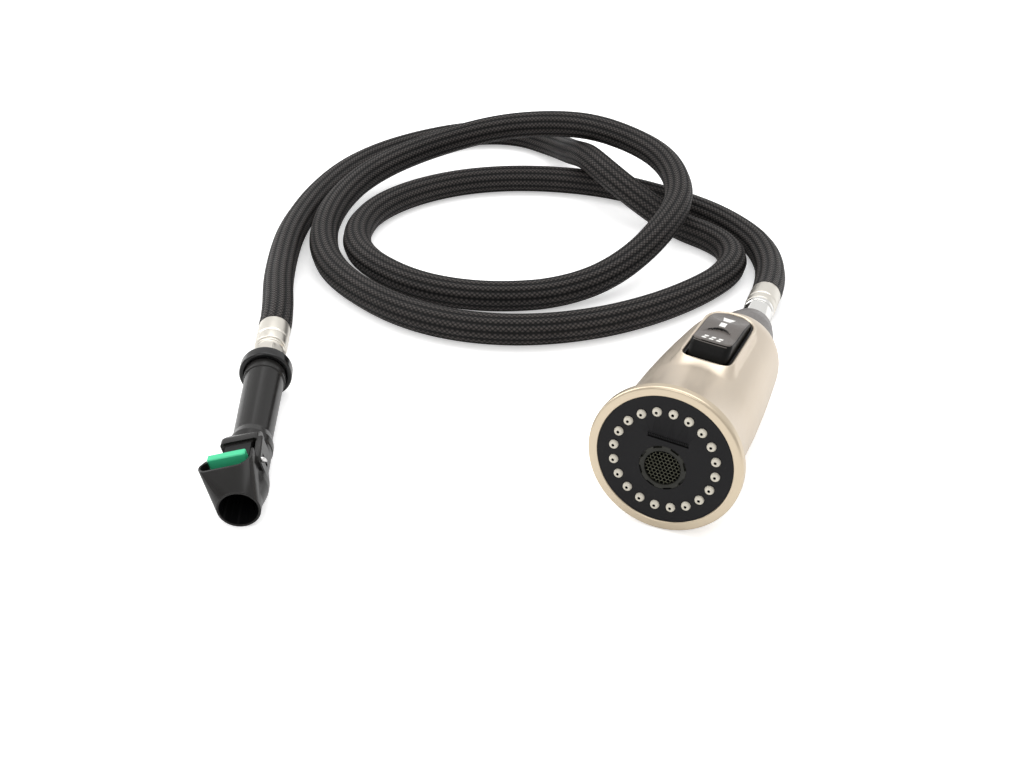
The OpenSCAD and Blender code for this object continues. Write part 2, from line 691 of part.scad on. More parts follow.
module hose_stem() {
    bore = stem_bore / 2;
    bend_bead = 0.15;
    seal_cut = stem_r - 1.1;
    color([0.75, 0.65, 0.4]) difference() {
        union() {
            on_inlet() spin(concat([
                [0, stem_nose], [stem_r - 0.4, stem_nose], [stem_r, stem_nose + 0.4]],
                [for (at = stem_grooves, end = [-1, 1], in = [0, 1])
                    [(end < 0) == (in == 0) ? stem_r : seal_cut,
                     at + end * stem_groove_w / 2]], [
                [stem_r, spigot_end + flange_gap], [spigot_r - 1, spigot_end + flange_gap],
                [spigot_r - 1, collar_shoulder - flange_gap],
                [stem_r, collar_shoulder - flange_gap], [stem_r, bend_at], [0, bend_at]]));
            on_inlet() translate([0, bend_at, 0]) sphere(r = stem_r + bend_bead, $fn = 64);
            on_bend() rod(stem_r, bend_at, nut_end);
            on_bend() rod(bore + 1, nut_end - 1, ferrule_end - 2);
        }
        on_inlet() rod(bore, stem_nose - 1, bend_at);
        on_inlet() translate([0, bend_at, 0]) sphere(r = bore + bend_bead, $fn = 64);
        on_bend() rod(bore, bend_at, ferrule_end);
    }
}

module stem_seals() {
    color([0.08, 0.08, 0.08]) on_inlet() for (at = stem_grooves)
        o_ring(stem_r - 0.42, 0.45, at);
}

module swivel_nut() {
    groove = nut_end - 5.6;
    color([0.86, 0.87, 0.88]) on_bend() difference() {
        spin([[stem_r, nut_front], [nut_r - 0.6, nut_front], [nut_r, nut_front + 0.6],
              [nut_r, groove], [nut_r - 0.6, groove + 0.6],
              [nut_r - 0.6, groove + 1.6], [nut_r, groove + 2.2],
              [nut_r, nut_end - 0.5], [nut_r - 0.5, nut_end], [stem_r, nut_end]], 72);
        for (i = [0 : 5]) rotate([0, i * 60, 0])
            translate([-0.9, nut_front + 3, nut_r - 1]) cube([1.8, 5, 2]);
    }
}

module ferrule(from, to) {
    spin([[stem_bore / 2 + 1, from], [ferrule_r - 0.6, from], [ferrule_r, from + 0.6],
          [ferrule_r, from + 5], [ferrule_r - 0.35, from + 5.6],
          [ferrule_r - 0.35, from + 6.4], [ferrule_r, from + 7],
          [ferrule_r, to - 1], [ferrule_r - 0.3, to], [stem_bore / 2 + 1, to]], 72);
}

module head_ferrule() {
    color([0.9, 0.88, 0.84]) on_bend() ferrule(nut_end, ferrule_end);
}

// Point on the axis of the hose's bent end, and point on the connector's axis
function bent_point(l) =
    let (t = l - bend_at,
         side = -t * cos(bend_dip) * sin(bend_turn),
         ahead = bend_at + t * cos(bend_dip) * cos(bend_turn),
         up = -t * sin(bend_dip))
    [side, head_y + ahead * cos(tilt) + up * sin(tilt),
     head_z - ahead * sin(tilt) + up * cos(tilt)];
function conn_point(l) = [conn_at[0] - l * cos(conn_tilt) * sin(conn_az),
                          conn_at[1] + l * cos(conn_tilt) * cos(conn_az),
                          conn_z + l * sin(conn_tilt)];

hose_route = concat([bent_point(ferrule_end), bent_point(ferrule_end + hose_d / 2)],
                    HOSE_POINTS,
                    [conn_point(conn_end + hose_d), conn_point(conn_end)]);

// Length of a route up to point i, and its middle line sampled four times a stretch
function run_to(p, i) = i == 0 ? 0 : norm(p[i] - p[i - 1]) + run_to(p, i - 1);
function samples(p) = [for (i = [0 : len(p) - 2], k = [0 : 3])
    [p[i] + (p[i + 1] - p[i]) * k / 4,
     run_to(p, i) + norm(p[i + 1] - p[i]) * k / 4]];
hose_samples = samples(hose_route);
echo(hose_length = run_to(hose_route, len(hose_route) - 1),
     least_gap = min([for (a = hose_samples, b = hose_samples)
         if (b[1] - a[1] > 3 * hose_d) norm(a[0] - b[0])]) - hose_d);

module hose() {
    color([0.15, 0.15, 0.16]) tube_along(hose_route, hose_d / 2, hose_sides);
}

module tail_ferrule() {
    color([0.9, 0.88, 0.84]) on_connector() ferrule(tail_ferrule_at, conn_end);
}

// ---------------------------------------------------------------- connector

module tail_fitting() {
    color([0.88, 0.86, 0.8]) on_connector() difference() {
        union() {
            translate([0, fitting_at, 0]) rotate([-90, 0, 0])
                cylinder(d = hex_af * 2 / sqrt(3), h = hex_l, $fn = 6);
            spin([[tail_bore, fitting_at - barb_l], [barb_r, fitting_at - barb_l],
                  [barb_r, fitting_at + hex_l], [ferrule_r - 0.9, fitting_at + hex_l],
                  [ferrule_r - 0.9, tail_ferrule_at - 1], [ferrule_r - 0.4,
                  tail_ferrule_at - 1], [ferrule_r - 0.4, tail_ferrule_at],
                  [tail_bore + 1, tail_ferrule_at], [tail_bore + 1, conn_end - 2],
                  [tail_bore, conn_end - 2]], 64);
        }
        rod(tail_bore, fitting_at - barb_l - 1, conn_end);
    }
}

module stop_flange() {
    edge = 1.8;
    color([0.07, 0.07, 0.08]) on_connector() difference() {
        union() {
            sleeve(flange_r, tail_r, flange_at + edge, fitting_at - edge);
            for (at = [flange_at + edge, fitting_at - edge]) translate([0, at, 0])
                rotate([-90, 0, 0]) rotate_extrude($fn = 96)
                    translate([flange_r - edge, 0]) circle(r = edge, $fn = 32);
            sleeve(flange_r - edge, tail_r, flange_at, fitting_at);
        }
        rod(tail_r + seat_gap, flange_at - 1, fitting_at + 1);
    }
}

// Plan of the latch's lip: a small corner on the left, a wide one on the right
module lip_plan(inset, back) {
    left = lip_shift - lip_w / 2 + inset;
    right = lip_shift + lip_w / 2 - inset;
    front = lip_at + inset;
    left_r = 3 - inset;
    right_r = 5.6 - inset;
    translate([left + left_r, front])
        square([right - right_r - left - left_r, back - front]);
    translate([left, front + left_r]) square([left_r + 1, back - front - left_r]);
    translate([right - right_r - 1, front + right_r])
        square([right_r + 1, back - front - right_r]);
    translate([left + left_r, front + left_r]) circle(r = left_r, $fn = 32);
    translate([right - right_r, front + right_r]) circle(r = right_r, $fn = 32);
}

// Front cowl of the latch: it leads from the mouth up to the wide lip
module cowl() {
    hull() {
        rod(mouth_r, 0, lip_at + 2);
        translate([0, 0, lip_h - 2.5]) linear_extrude(height = 2.5)
            lip_plan(0, slide_front + slide_t);
    }
}

module connector_body() {
    side = box_w / 2;
    wall_l = 1.4;
    wall_r = 1.8;
    color([0.12, 0.12, 0.13]) on_connector() difference() {
        union() {
            // mouth, latch barrel, shoulder ring, long tube and tail
            spin([[0, 0], [mouth_r - 0.3, 0], [mouth_r, 0.3], [mouth_r, 5],
                  [swell_r, swell_l - 1.5], [swell_r, swell_l + 2],
                  [barrel_r, swell_l + 9], [barrel_r, ring_l - 2.2],
                  [shoulder_ring_r, ring_l - 1.8], [shoulder_ring_r, ring_l + 2],
                  [tube_front_r, ring_l + 6], [tube_back_r, flange_at - 5],
                  [collar_step_r, flange_at - 4.4], [collar_step_r, flange_at],
                  [tail_r, flange_at], [tail_r, fitting_at], [0, fitting_at]]);
            cowl();
            // box that the slide's tongue runs into, and the right wall before it
            translate([-side, 0, 0]) rotate([90, 0, 90]) linear_extrude(height = box_w)
                polygon([[box_front, 0], [box_front, box_h],
                         [box_front + box_flat, box_h], [ring_l - 1, shoulder_ring_r],
                         [ring_l - 1, 0]]);
            translate([side - wall_r, slide_front, 0])
                cube([wall_r * 2, box_front - slide_front + 1, slide_h + 0.6]);
        }
        // hollow that the lock slide stands in
        translate([0, 0, slide_h - free_gap]) linear_extrude(height = lip_h)
            lip_plan(0.8, box_front);
        rod(socket_r, -1, guide_l);
        rod(socket_r - 0.5, guide_l - 1, socket_l);
        rod(5.2, socket_l - 1, socket_l + 4);
        rod(tail_bore, socket_l, fitting_at + 1);
        rod(barb_r + run_gap, fitting_at - barb_l - run_gap, fitting_at + 1);
        // window of the box
        translate([wall_l - side, box_front - 1, slide_h - free_gap])
            cube([box_w - wall_l - wall_r, box_in_back - box_front + 1,
                  box_h - 0.9 - slide_h + free_gap]);
        // slit that the spring clip stands in
        translate([-lip_w, clip_at - clip_wire - 0.1, clip_h - 2.2])
            cube([2 * lip_w, 2 * clip_wire + 0.2, 4.4]);
    }
}

module retaining_clip() {
    color([0.85, 0.85, 0.87]) on_connector() for (s = [-1, 1])
        translate([s * (socket_r - 0.1), clip_at, clip_h]) {
            translate([0, 0, -1.7]) cylinder(r = clip_wire, h = 3.4, $fn = 24);
            rotate([0, s * 90, 0])
                cylinder(r = clip_wire, h = clip_out - socket_r + 0.1, $fn = 24);
        }
}

module lock_slide() {
    back = slide_front + slide_t;
    color([0.2, 0.74, 0.5]) on_connector() difference() {
        union() {
            translate([lip_shift - slide_w / 2, slide_front, slide_h])
                cube([slide_w, slide_t, slide_top - slide_h]);
            translate([-tongue_w / 2, back - 0.5, slide_h])
                cube([tongue_w, tongue_end - back + 0.5, tongue_t]);
        }
        // slot that the spring lies in
        translate([-spring_w / 2, spring_at, slide_h - 1])
            cube([spring_w, tongue_end - spring_at + 1, tongue_t + 2]);
    }
}

module lock_spring() {
    color([0.75, 0.75, 0.77]) on_connector()
        translate([0, 0, slide_h + 0.65])
            coil(0.7, 0.18, spring_at + run_gap, box_in_back - run_gap, 7, 8);
}

head_shell();
face_ring();
face_plate();
nozzle_mat();
aerator_cage();
aerator_screen();
aerator_seal();
waterway_core();
rocker_frame();
rocker_pin();
rocker_button();
diverter_spool();
spool_seals();
check_valve_cage();
check_valve_poppet();
check_valve_spring();
inlet_collar();
hose_stem();
stem_seals();
swivel_nut();
head_ferrule();
hose();
tail_ferrule();
tail_fitting();
stop_flange();
connector_body();
retaining_clip();
lock_slide();
lock_spring();
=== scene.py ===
"""Blender scene of a handheld bath sprayer with its hose and push-on connector.

The CAD nodes come from the shared frame. Millimetres are used for every size here and
turned into metres where a mesh is made.
"""
import json
import logging
import math
from dataclasses import dataclass, field
from enum import Enum
from typing import Callable, ClassVar, Sequence

import bmesh
import bpy
from bpy.types import (ID, GeometryNodeTree, Material, Mesh, MeshPolygon, Node,
                       NodeSocket, NodeTree, Object)
from mathutils import Matrix, Vector

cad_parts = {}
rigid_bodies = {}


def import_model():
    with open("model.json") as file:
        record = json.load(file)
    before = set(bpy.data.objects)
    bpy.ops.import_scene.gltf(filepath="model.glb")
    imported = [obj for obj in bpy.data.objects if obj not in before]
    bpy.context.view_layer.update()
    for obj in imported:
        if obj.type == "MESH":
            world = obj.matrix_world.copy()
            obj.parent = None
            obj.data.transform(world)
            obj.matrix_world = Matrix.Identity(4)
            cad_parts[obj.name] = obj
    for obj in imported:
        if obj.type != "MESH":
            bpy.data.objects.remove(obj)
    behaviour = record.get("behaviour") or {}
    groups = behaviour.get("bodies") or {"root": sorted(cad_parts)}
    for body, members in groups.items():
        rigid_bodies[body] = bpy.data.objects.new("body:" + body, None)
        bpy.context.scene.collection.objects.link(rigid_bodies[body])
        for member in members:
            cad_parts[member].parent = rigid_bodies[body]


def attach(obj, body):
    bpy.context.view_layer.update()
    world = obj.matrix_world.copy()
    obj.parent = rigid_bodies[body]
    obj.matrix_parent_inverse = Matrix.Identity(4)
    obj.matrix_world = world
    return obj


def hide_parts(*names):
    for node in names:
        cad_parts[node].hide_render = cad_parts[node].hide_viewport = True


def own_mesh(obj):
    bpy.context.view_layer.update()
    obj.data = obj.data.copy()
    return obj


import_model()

LOG = logging.getLogger("scene")
MM = 0.001
WELD = 2e-7  # metres under which points are one
SLIVER = 1e-8  # metres under which an edge is nothing
NODE_NAMES = {o.name for o in bpy.data.objects if o.type == "MESH"}

Point2 = tuple[float, float]
Point3 = tuple[float, float, float]
Shape = tuple[list, list]  # points, and faces as tuples of point numbers


class Body(Enum):
    """The bodies of the frame that pieces ride on."""

    HOSE = "hose"
    HEAD = "head"
    ROCKER = "rocker"
    LOCK = "lock"


# ------------------------------------------------------------------ placing


def rise(*steps: Matrix) -> Matrix:
    """Multiplies placement steps from the outside in.

    Args:
        steps: matrices, the outermost first.

    Returns:
        The joined placement.
    """
    out = Matrix.Identity(4)
    for step in steps:
        out = out @ step
    return out


def turn(degrees: float, axis: str) -> Matrix:
    """Returns a turn about one axis, in degrees."""
    return Matrix.Rotation(math.radians(degrees), 4, axis)


@dataclass(frozen=True)
class Places:
    """Where the three groups of pieces lie on the floor."""

    head_y: float = -60.756
    head_z: float = 27.906
    tilt: float = 5.3933
    roll: float = 5.0
    pivot_l: float = 57.0
    pivot_h: float = 19.0
    swing: float = 7.4
    conn_x: float = -134.4
    conn_y: float = -121.2
    conn_z: float = 7.7957
    conn_az: float = 26.5
    conn_tilt: float = 1.9092
    conn_roll: float = -12.0
    bend_at: float = 124.6
    bend_turn: float = 5.0
    bend_dip: float = 2.6

    def inlet(self) -> Matrix:
        """Returns the placement of the hose's end in the head."""
        return rise(Matrix.Translation((0, self.head_y, self.head_z)), turn(-self.tilt, "X"))

    def bend(self) -> Matrix:
        """Returns the placement of what lies behind the bend of the hose's end."""
        pivot = Vector((0, self.bend_at, 0))
        return rise(self.inlet(), Matrix.Translation(pivot), turn(self.bend_turn, "Z"),
                    turn(-self.bend_dip, "X"), Matrix.Translation(-pivot))

    def head(self) -> Matrix:
        """Returns the placement of the head's pieces."""
        return rise(self.inlet(), turn(self.roll, "Y"))

    def rocker(self) -> Matrix:
        """Returns the placement of the rocker at rest."""
        pin = Vector((0, self.pivot_l, self.pivot_h))
        return rise(self.head(), Matrix.Translation(pin), turn(-self.swing, "X"),
                    Matrix.Translation(-pin))

    def connector(self) -> Matrix:
        """Returns the placement of the connector's pieces."""
        return rise(Matrix.Translation((self.conn_x, self.conn_y, self.conn_z)),
                    turn(self.conn_az, "Z"), turn(self.conn_tilt, "X"),
                    turn(self.conn_roll, "Y"))


PLACES = Places()


# ------------------------------------------------------------------ finishes


class Grain(Enum):
    """How the fine surface of a finish runs."""

    EVEN = (1.0, 1.0, 1.0)
    ALONG = (1.0, 0.06, 1.0)
    AROUND = (0.12, 1.0, 0.12)


class NodeDraft:
    """A short way to write a node tree."""

    def __init__(self, tree: NodeTree) -> None:
        """Keeps the tree that nodes are added to."""
        self.tree = tree

    def add(self, kind: str, inputs: dict | None = None, **props: object) -> Node:
        """Adds one node.

        Args:
            kind: the node's type name.
            inputs: values or sockets for its inputs, by name or number.
            props: attributes of the node.

        Returns:
            The new node.
        """
        node = self.tree.nodes.new(kind)
        for key, value in props.items():
            setattr(node, key, value)
        for key, value in (inputs or {}).items():
            if isinstance(value, NodeSocket):
                self.tree.links.new(value, node.inputs[key])
            else:
                node.inputs[key].default_value = value
        return node

    def math(self, operation: str, *values: object) -> NodeSocket:
        """Adds a math node and returns its output socket."""
        node = self.add("ShaderNodeMath", dict(enumerate(values)), operation=operation)
        return node.outputs[0]

    def wave(self, operation: str, value: NodeSocket,
             rate: float) -> NodeSocket:
        """Adds the absolute SINE or COSINE of a value times a rate, in radians."""
        return self.math("ABSOLUTE", self.math(operation, self.math("MULTIPLY", value, rate)))

    def mix(self, share: object, low: object, high: object) -> NodeSocket:
        """Adds a mix of two numbers and returns its output socket."""
        return self.add("ShaderNodeMix", {0: share, 2: low, 3: high},
                        data_type="FLOAT").outputs[0]

    def ramp(self, value: object, stops: Point2, low: Sequence[float],
             high: Sequence[float]) -> NodeSocket:
        """Adds a ramp of two colours.

        Args:
            value: the number it reads.
            stops: where the low and the high colour stand.
            low: the low colour.
            high: the high colour.

        Returns:
            Its colour output.
        """
        node = self.add("ShaderNodeValToRGB", {"Fac": value})
        for i, colour in enumerate((low, high)):
            node.color_ramp.elements[i].position = stops[i]
            node.color_ramp.elements[i].color = (*colour, 1.0)
        return node.outputs["Color"]

    def shade(self, inputs: dict) -> None:
        """Adds a principled surface and the material's output."""
        shader = self.add("ShaderNodeBsdfPrincipled", inputs)
        self.add("ShaderNodeOutputMaterial", {"Surface": shader.outputs[0]})


def start_material(name: str) -> tuple[Material, NodeDraft]:
    """Returns a new material and the draft of its emptied tree."""
    material = bpy.data.materials.new(name)
    material.use_nodes = True
    material.node_tree.nodes.clear()
    return material, NodeDraft(material.node_tree)


def start_group(name: str, output: str, **inputs: str) -> tuple[NodeDraft, dict]:
    """Starts a Geometry Nodes group.

    Args:
        name: the group's name.
        output: the name of its one output.
        inputs: the kind of each named input, such as Float.

    Returns:
        The draft of its tree, and its input sockets.
    """
    group = bpy.data.node_groups.new(name, "GeometryNodeTree")
    for label, kind in inputs.items():
        group.interface.new_socket(label, in_out="INPUT", socket_type="NodeSocket" + kind)
    group.interface.new_socket(output, in_out="OUTPUT", socket_type="NodeSocketGeometry")
    draft = NodeDraft(group)
    return draft, draft.add("NodeGroupInput").outputs


def end_group(draft: NodeDraft, given: dict, geometry: NodeSocket,
              output: str) -> GeometryNodeTree:
    """Ends a group with real instances and the surface that its input names.

    Args:
        draft: the draft of its tree.
        given: its input sockets.
        geometry: what it made.
        output: the name of its output.

    Returns:
        The group.
    """
    whole = draft.add("GeometryNodeRealizeInstances", {0: geometry})
    surface = draft.add("GeometryNodeSetMaterial", {
        "Geometry": whole.outputs[0], "Material": given["Surface"]})
    draft.add("NodeGroupOutput", {output: surface.outputs[0]})
    return draft.tree


@dataclass(frozen=True)
class Finish:
    """A procedural surface with grain, colour variation, bump and edge wear.

    The class values are shared by every finish: the scale of the broad noise, the fine
    noise's share of the tone, the ramp's stops, the sharpness at which wear starts and
    ends, and the depth of the bump in metres.
    """

    BROAD_SCALE: ClassVar[float] = 38.0
    FINE_SHARE: ClassVar[float] = 0.35
    TONE_STOPS: ClassVar[Point2] = (0.32, 0.68)
    WEAR_STOPS: ClassVar[Point2] = (0.52, 0.60)
    BUMP_DEPTH: ClassVar[float] = 0.0001

    name: str
    colour: Point3
    metallic: float = 0.0
    rough: float = 0.4
    grain: Grain = Grain.EVEN
    grain_scale: float = 900.0
    mottle: float = 0.05
    rough_swing: float = 0.06
    bump: float = 0.12
    wear: float = 0.25
    specular: float = 0.5

    def build(self) -> Material:
        """Returns the material, which is made once."""
        known = bpy.data.materials.get(self.name)
        if known is not None:
            return known
        material, draft = start_material(self.name)
        where = draft.add("ShaderNodeTexCoord").outputs["Object"]
        grain = draft.add("ShaderNodeMapping", {"Vector": where, "Scale": self.grain.value})
        fine = draft.add("ShaderNodeTexNoise", {
            "Vector": grain.outputs["Vector"], "Scale": self.grain_scale, "Detail": 2.0,
            "Roughness": 0.5}).outputs["Fac"]
        broad = draft.add("ShaderNodeTexNoise", {
            "Vector": where, "Scale": self.BROAD_SCALE, "Detail": 3.0,
            "Roughness": 0.55}).outputs["Fac"]
        tone = draft.ramp(draft.mix(self.FINE_SHARE, broad, fine), self.TONE_STOPS,
                          [c * (1.0 - self.mottle) for c in self.colour],
                          [min(1.0, c * (1.0 + self.mottle)) for c in self.colour])
        worn = draft.add("ShaderNodeMapRange", {
            "Value": draft.add("ShaderNodeNewGeometry").outputs["Pointiness"],
            "From Min": self.WEAR_STOPS[0], "From Max": self.WEAR_STOPS[1],
            "To Min": 0.0, "To Max": self.wear})
        bright = [min(1.0, c * 1.5 + 0.03) for c in self.colour]
        colour = draft.add("ShaderNodeMix", {0: worn.outputs[0], 6: tone, 7: (*bright, 1.0)},
                           data_type="RGBA")
        rough = draft.add("ShaderNodeMapRange", {
            "Value": fine, "From Min": 0.3, "From Max": 0.7,
            "To Min": max(0.02, self.rough - self.rough_swing),
            "To Max": min(1.0, self.rough + self.rough_swing)})
        bump = draft.add("ShaderNodeBump", {
            "Height": fine, "Strength": self.bump, "Distance": self.BUMP_DEPTH})
        draft.shade({"Base Color": colour.outputs[2], "Roughness": rough.outputs[0],
                     "Metallic": self.metallic, "Specular IOR Level": self.specular,
                     "Normal": bump.outputs["Normal"]})
        material.diffuse_color = (*self.colour, 1.0)
        return material


NICKEL = Finish("fin_nickel", (0.690, 0.600, 0.490), metallic=1.0, rough=0.38,
                grain=Grain.ALONG, grain_scale=700, mottle=0.02, rough_swing=0.03,
                bump=0.015, wear=0.10)
RIM_NICKEL = Finish("fin_rim_nickel", (0.660, 0.560, 0.420), metallic=1.0, rough=0.30,
                    grain=Grain.AROUND, grain_scale=500, mottle=0.012,
                    rough_swing=0.02, bump=0.004, wear=0.12)
FACE_BLACK = Finish("fin_face_black", (0.0080, 0.0078, 0.0086), rough=0.42, bump=0.05,
                    grain_scale=1200, mottle=0.10, specular=0.10)
NOZZLE_RUBBER = Finish("fin_nozzle_rubber", (0.66, 0.62, 0.53), rough=0.50, bump=0.06,
                       wear=0.1, specular=0.35)
AERATOR_GREY = Finish("fin_aerator", (0.018, 0.018, 0.014), rough=0.40, wear=0.3,
                      specular=0.25)
SCREEN_GREY = Finish("fin_screen", (0.115, 0.115, 0.085), rough=0.40, wear=0.5,
                     specular=0.3)
BLACK_RUBBER = Finish("fin_black_rubber", (0.008, 0.008, 0.008), rough=0.6, specular=0.3)
CORE_PLASTIC = Finish("fin_core", (0.050, 0.050, 0.056), rough=0.5, specular=0.3)
# Black of the rocker frame; the same black is also laid on bores, hollows, comb cells and the
# tongue as painted shade.
FRAME_BLACK_AND_SHADE = Finish("fin_frame_black", (0.005, 0.005, 0.0055), rough=0.45,
                     specular=0.15)
STEEL = Finish("fin_steel", (0.72, 0.71, 0.70), metallic=1.0, rough=0.28,
               grain=Grain.AROUND, bump=0.02)
BUTTON_BLACK = Finish("fin_button_black", (0.0060, 0.0058, 0.0056), rough=0.40, bump=0.03,
                      grain_scale=1400, mottle=0.06, specular=0.12, wear=0.10)
# Lighter finish for the button's upward faces: a painted sheen where the top catches the light.
BUTTON_PAINTED_SHEEN = Finish("fin_button_top", (0.092, 0.079, 0.070), rough=0.36, bump=0.04,
                    grain_scale=1400, mottle=0.06, specular=0.50, wear=0.35)
ICON_WHITE = Finish("fin_icon_white", (0.86, 0.85, 0.82), rough=0.5, mottle=0.02,
                    bump=0.03)
WHITE_PLASTIC = Finish("fin_white_plastic", (0.66, 0.66, 0.62), rough=0.4)
RED_PLASTIC = Finish("fin_red_plastic", (0.60, 0.08, 0.045), rough=0.4)
COLLAR_GREY = Finish("fin_collar_grey", (0.105, 0.094, 0.090), rough=0.34, bump=0.04,
                     specular=0.45)
BRASS = Finish("fin_brass", (0.62, 0.47, 0.22), metallic=1.0, rough=0.3,
               grain=Grain.AROUND, bump=0.02)
CHROME = Finish("fin_chrome", (0.84, 0.83, 0.80), metallic=1.0, rough=0.09,
                rough_swing=0.02, mottle=0.02, bump=0.006, wear=0.05)
FERRULE = Finish("fin_ferrule", (0.76, 0.725, 0.655), metallic=1.0, rough=0.33,
                 grain=Grain.AROUND, grain_scale=600, mottle=0.02, rough_swing=0.03,
                 bump=0.010, wear=0.06)
CONNECTOR_BLACK = Finish("fin_connector_black", (0.0100, 0.0093, 0.0088), rough=0.24,
                         bump=0.012, grain_scale=600, mottle=0.05, rough_swing=0.03,
                         specular=0.30, wear=0.12)
FLANGE_BLACK = Finish("fin_flange_black", (0.006, 0.006, 0.0062), rough=0.16, bump=0.02,
                      specular=0.40)
TAB_GREEN = Finish("fin_tab_green", (0.045, 0.540, 0.265), rough=0.36, mottle=0.04,
                   bump=0.02, specular=0.4)

SLOT_FINISHES: dict[str, Finish] = {
    "nickel": NICKEL, "rim_nickel": RIM_NICKEL, "face_black": FACE_BLACK,
    "nozzle_rubber": NOZZLE_RUBBER, "aerator_grey": AERATOR_GREY,
    "black_rubber": BLACK_RUBBER, "core_plastic": CORE_PLASTIC,
    "frame_black": FRAME_BLACK_AND_SHADE, "steel": STEEL, "button_black": BUTTON_BLACK,
    "white_plastic": WHITE_PLASTIC, "red_plastic": RED_PLASTIC,
    "collar_grey": COLLAR_GREY, "brass": BRASS, "nut_chrome": CHROME,
    "ferrule_nickel": FERRULE, "hose_braid": BLACK_RUBBER,
    "connector_black": CONNECTOR_BLACK, "flange_black": FLANGE_BLACK,
    "tab_green": TAB_GREEN,
}


@dataclass(frozen=True)
class BraidFinish:
    """The woven sleeve of the hose, drawn from its own UV map. Its colour is darkened in the
    flutes' grooves and where the weave sinks, as painted shade.
    """

    name: str = "fin_braid"
    dark: Point3 = (0.0010, 0.0010, 0.0010)
    light: Point3 = (0.085, 0.074, 0.070)
    columns: float = 24.0
    flutes: float = 12.0
    pitch: float = 2.2
    rough: float = 0.44
    thread_depth: float = 0.15
    groove_shade_share: float = 0.75
    tone_stops: Point2 = (0.46, 1.0)
    relief_depth: float = 0.0004
    specular: float = 0.22

    def build(self) -> Material:
        """Returns the material, which is made once."""
        known = bpy.data.materials.get(self.name)
        if known is not None:
            return known
        material, draft = start_material(self.name)
        uv = draft.add("ShaderNodeAttribute", attribute_name="sleeve_uv")
        turns, run = draft.add("ShaderNodeSeparateXYZ", {0: uv.outputs["Vector"]}).outputs[:2]
        around = draft.math("MULTIPLY", turns, self.columns)
        along = draft.math("MULTIPLY", run, 1.0 / self.pitch)
        a = draft.math("ADD", around, along)
        b = draft.math("SUBTRACT", around, along)
        parity = draft.math("FLOORED_MODULO", draft.math(
            "ADD", draft.math("FLOOR", a), draft.math("FLOOR", b)), 2.0)
        arch_a, arch_b = (draft.wave("SINE", way, math.pi) for way in (a, b))
        over_a, over_b = (
            draft.math("MULTIPLY", draft.math("POWER", over, 0.5),
                       draft.math("MULTIPLY_ADD", under, 0.5, 0.5))
            for over, under in ((arch_a, arch_b), (arch_b, arch_a)))
        height = draft.mix(parity, over_a, over_b)
        thread = draft.wave("SINE", draft.mix(parity, b, a), math.pi * 3.0)
        relief = draft.math("MULTIPLY_ADD", thread, self.thread_depth, height)
        noise = draft.add("ShaderNodeTexNoise", {
            "Vector": draft.add("ShaderNodeTexCoord").outputs["Object"], "Scale": 60.0,
            "Detail": 4.0, "Roughness": 0.6})
        ridge = draft.wave("COSINE", turns, math.pi * self.flutes)
        # Painted shade: the colour darkens towards each flute's groove.
        groove_shade = draft.math("MULTIPLY_ADD", draft.math("POWER", ridge, 0.6),
                           self.groove_shade_share, 1.0 - self.groove_shade_share)
        # Painted highlight and shade: the colour follows the weave's height, lighter on raised
        # strands and darker where they sink; the noise is real tone.
        tone = draft.math("MULTIPLY", groove_shade, draft.math(
            "MULTIPLY_ADD", noise.outputs["Fac"], 0.30, relief))
        colour = draft.ramp(draft.math("MULTIPLY", tone, 0.75), self.tone_stops, self.dark,
                            self.light)
        rough = draft.add("ShaderNodeMapRange", {
            "Value": relief, "From Min": 0.0, "From Max": 1.1,
            "To Min": self.rough + 0.25, "To Max": self.rough})
        bump = draft.add("ShaderNodeBump", {
            "Height": relief, "Strength": 0.8, "Distance": self.relief_depth})
        draft.shade({"Base Color": colour, "Roughness": rough.outputs[0],
                     "Specular IOR Level": self.specular,
                     "Normal": bump.outputs["Normal"]})
        return material


BRAID = BraidFinish()


# ------------------------------------------------------------------ meshes


def raw_mesh(name: str, shape: Shape, edges: Sequence[Sequence[int]] = ()) -> Mesh:
    """Returns a mesh from a shape, with no clean-up."""
    mesh = bpy.data.meshes.new(name)
    mesh.from_pydata(shape[0], list(edges), shape[1])
    return mesh


def link_object(name: str, data: ID) -> Object:
    """Returns a new object with a mesh, camera or light, linked to the scene."""
    obj = bpy.data.objects.new(name, data)
    bpy.context.scene.collection.objects.link(obj)
    return obj


def discard(obj: Object) -> None:
    """Removes an object and its mesh."""
    mesh = obj.data
    bpy.data.objects.remove(obj)
    bpy.data.meshes.remove(mesh)


def new_object(name: str, shape: Shape, place: Matrix, finish: Finish | BraidFinish,
               sharp: float = 32.0) -> Object:
    """Makes an object at the origin from a shape in millimetres.

    Args:
        name: the object's name.
        shape: its points and faces in the local frame.
        place: placement of the local frame, in millimetres.
        finish: the surface it gets.
        sharp: edges steeper than this many degrees stay sharp.

    Returns:
        The new object, linked to the scene.
    """
    verts = [tuple((place @ Vector(v)) * MM) for v in shape[0]]
    return finish_object(name, raw_mesh(name, (verts, shape[1])), finish, sharp)


def finish_object(name: str, mesh: Mesh, finish: Finish | BraidFinish,
                  sharp: float) -> Object:
    """Cleans a mesh, turns its normals outward and links it as an object.

    Args:
        name: the object's name.
        mesh: the mesh in metres.
        finish: the surface it gets.
        sharp: edges steeper than this many degrees stay sharp.

    Returns:
        The new object.
    """
    work = bmesh.new()
    work.from_mesh(mesh)
    bmesh.ops.remove_doubles(work, verts=work.verts, dist=WELD)
    bmesh.ops.dissolve_degenerate(work, edges=work.edges, dist=SLIVER)
    bmesh.ops.recalc_face_normals(work, faces=work.faces)
    work.to_mesh(mesh)
    work.free()
    mesh.polygons.foreach_set("use_smooth", [True] * len(mesh.polygons))
    mesh.set_sharp_from_angle(angle=math.radians(sharp))
    mesh.materials.clear()
    mesh.materials.append(finish.build())
    return link_object(name, mesh)


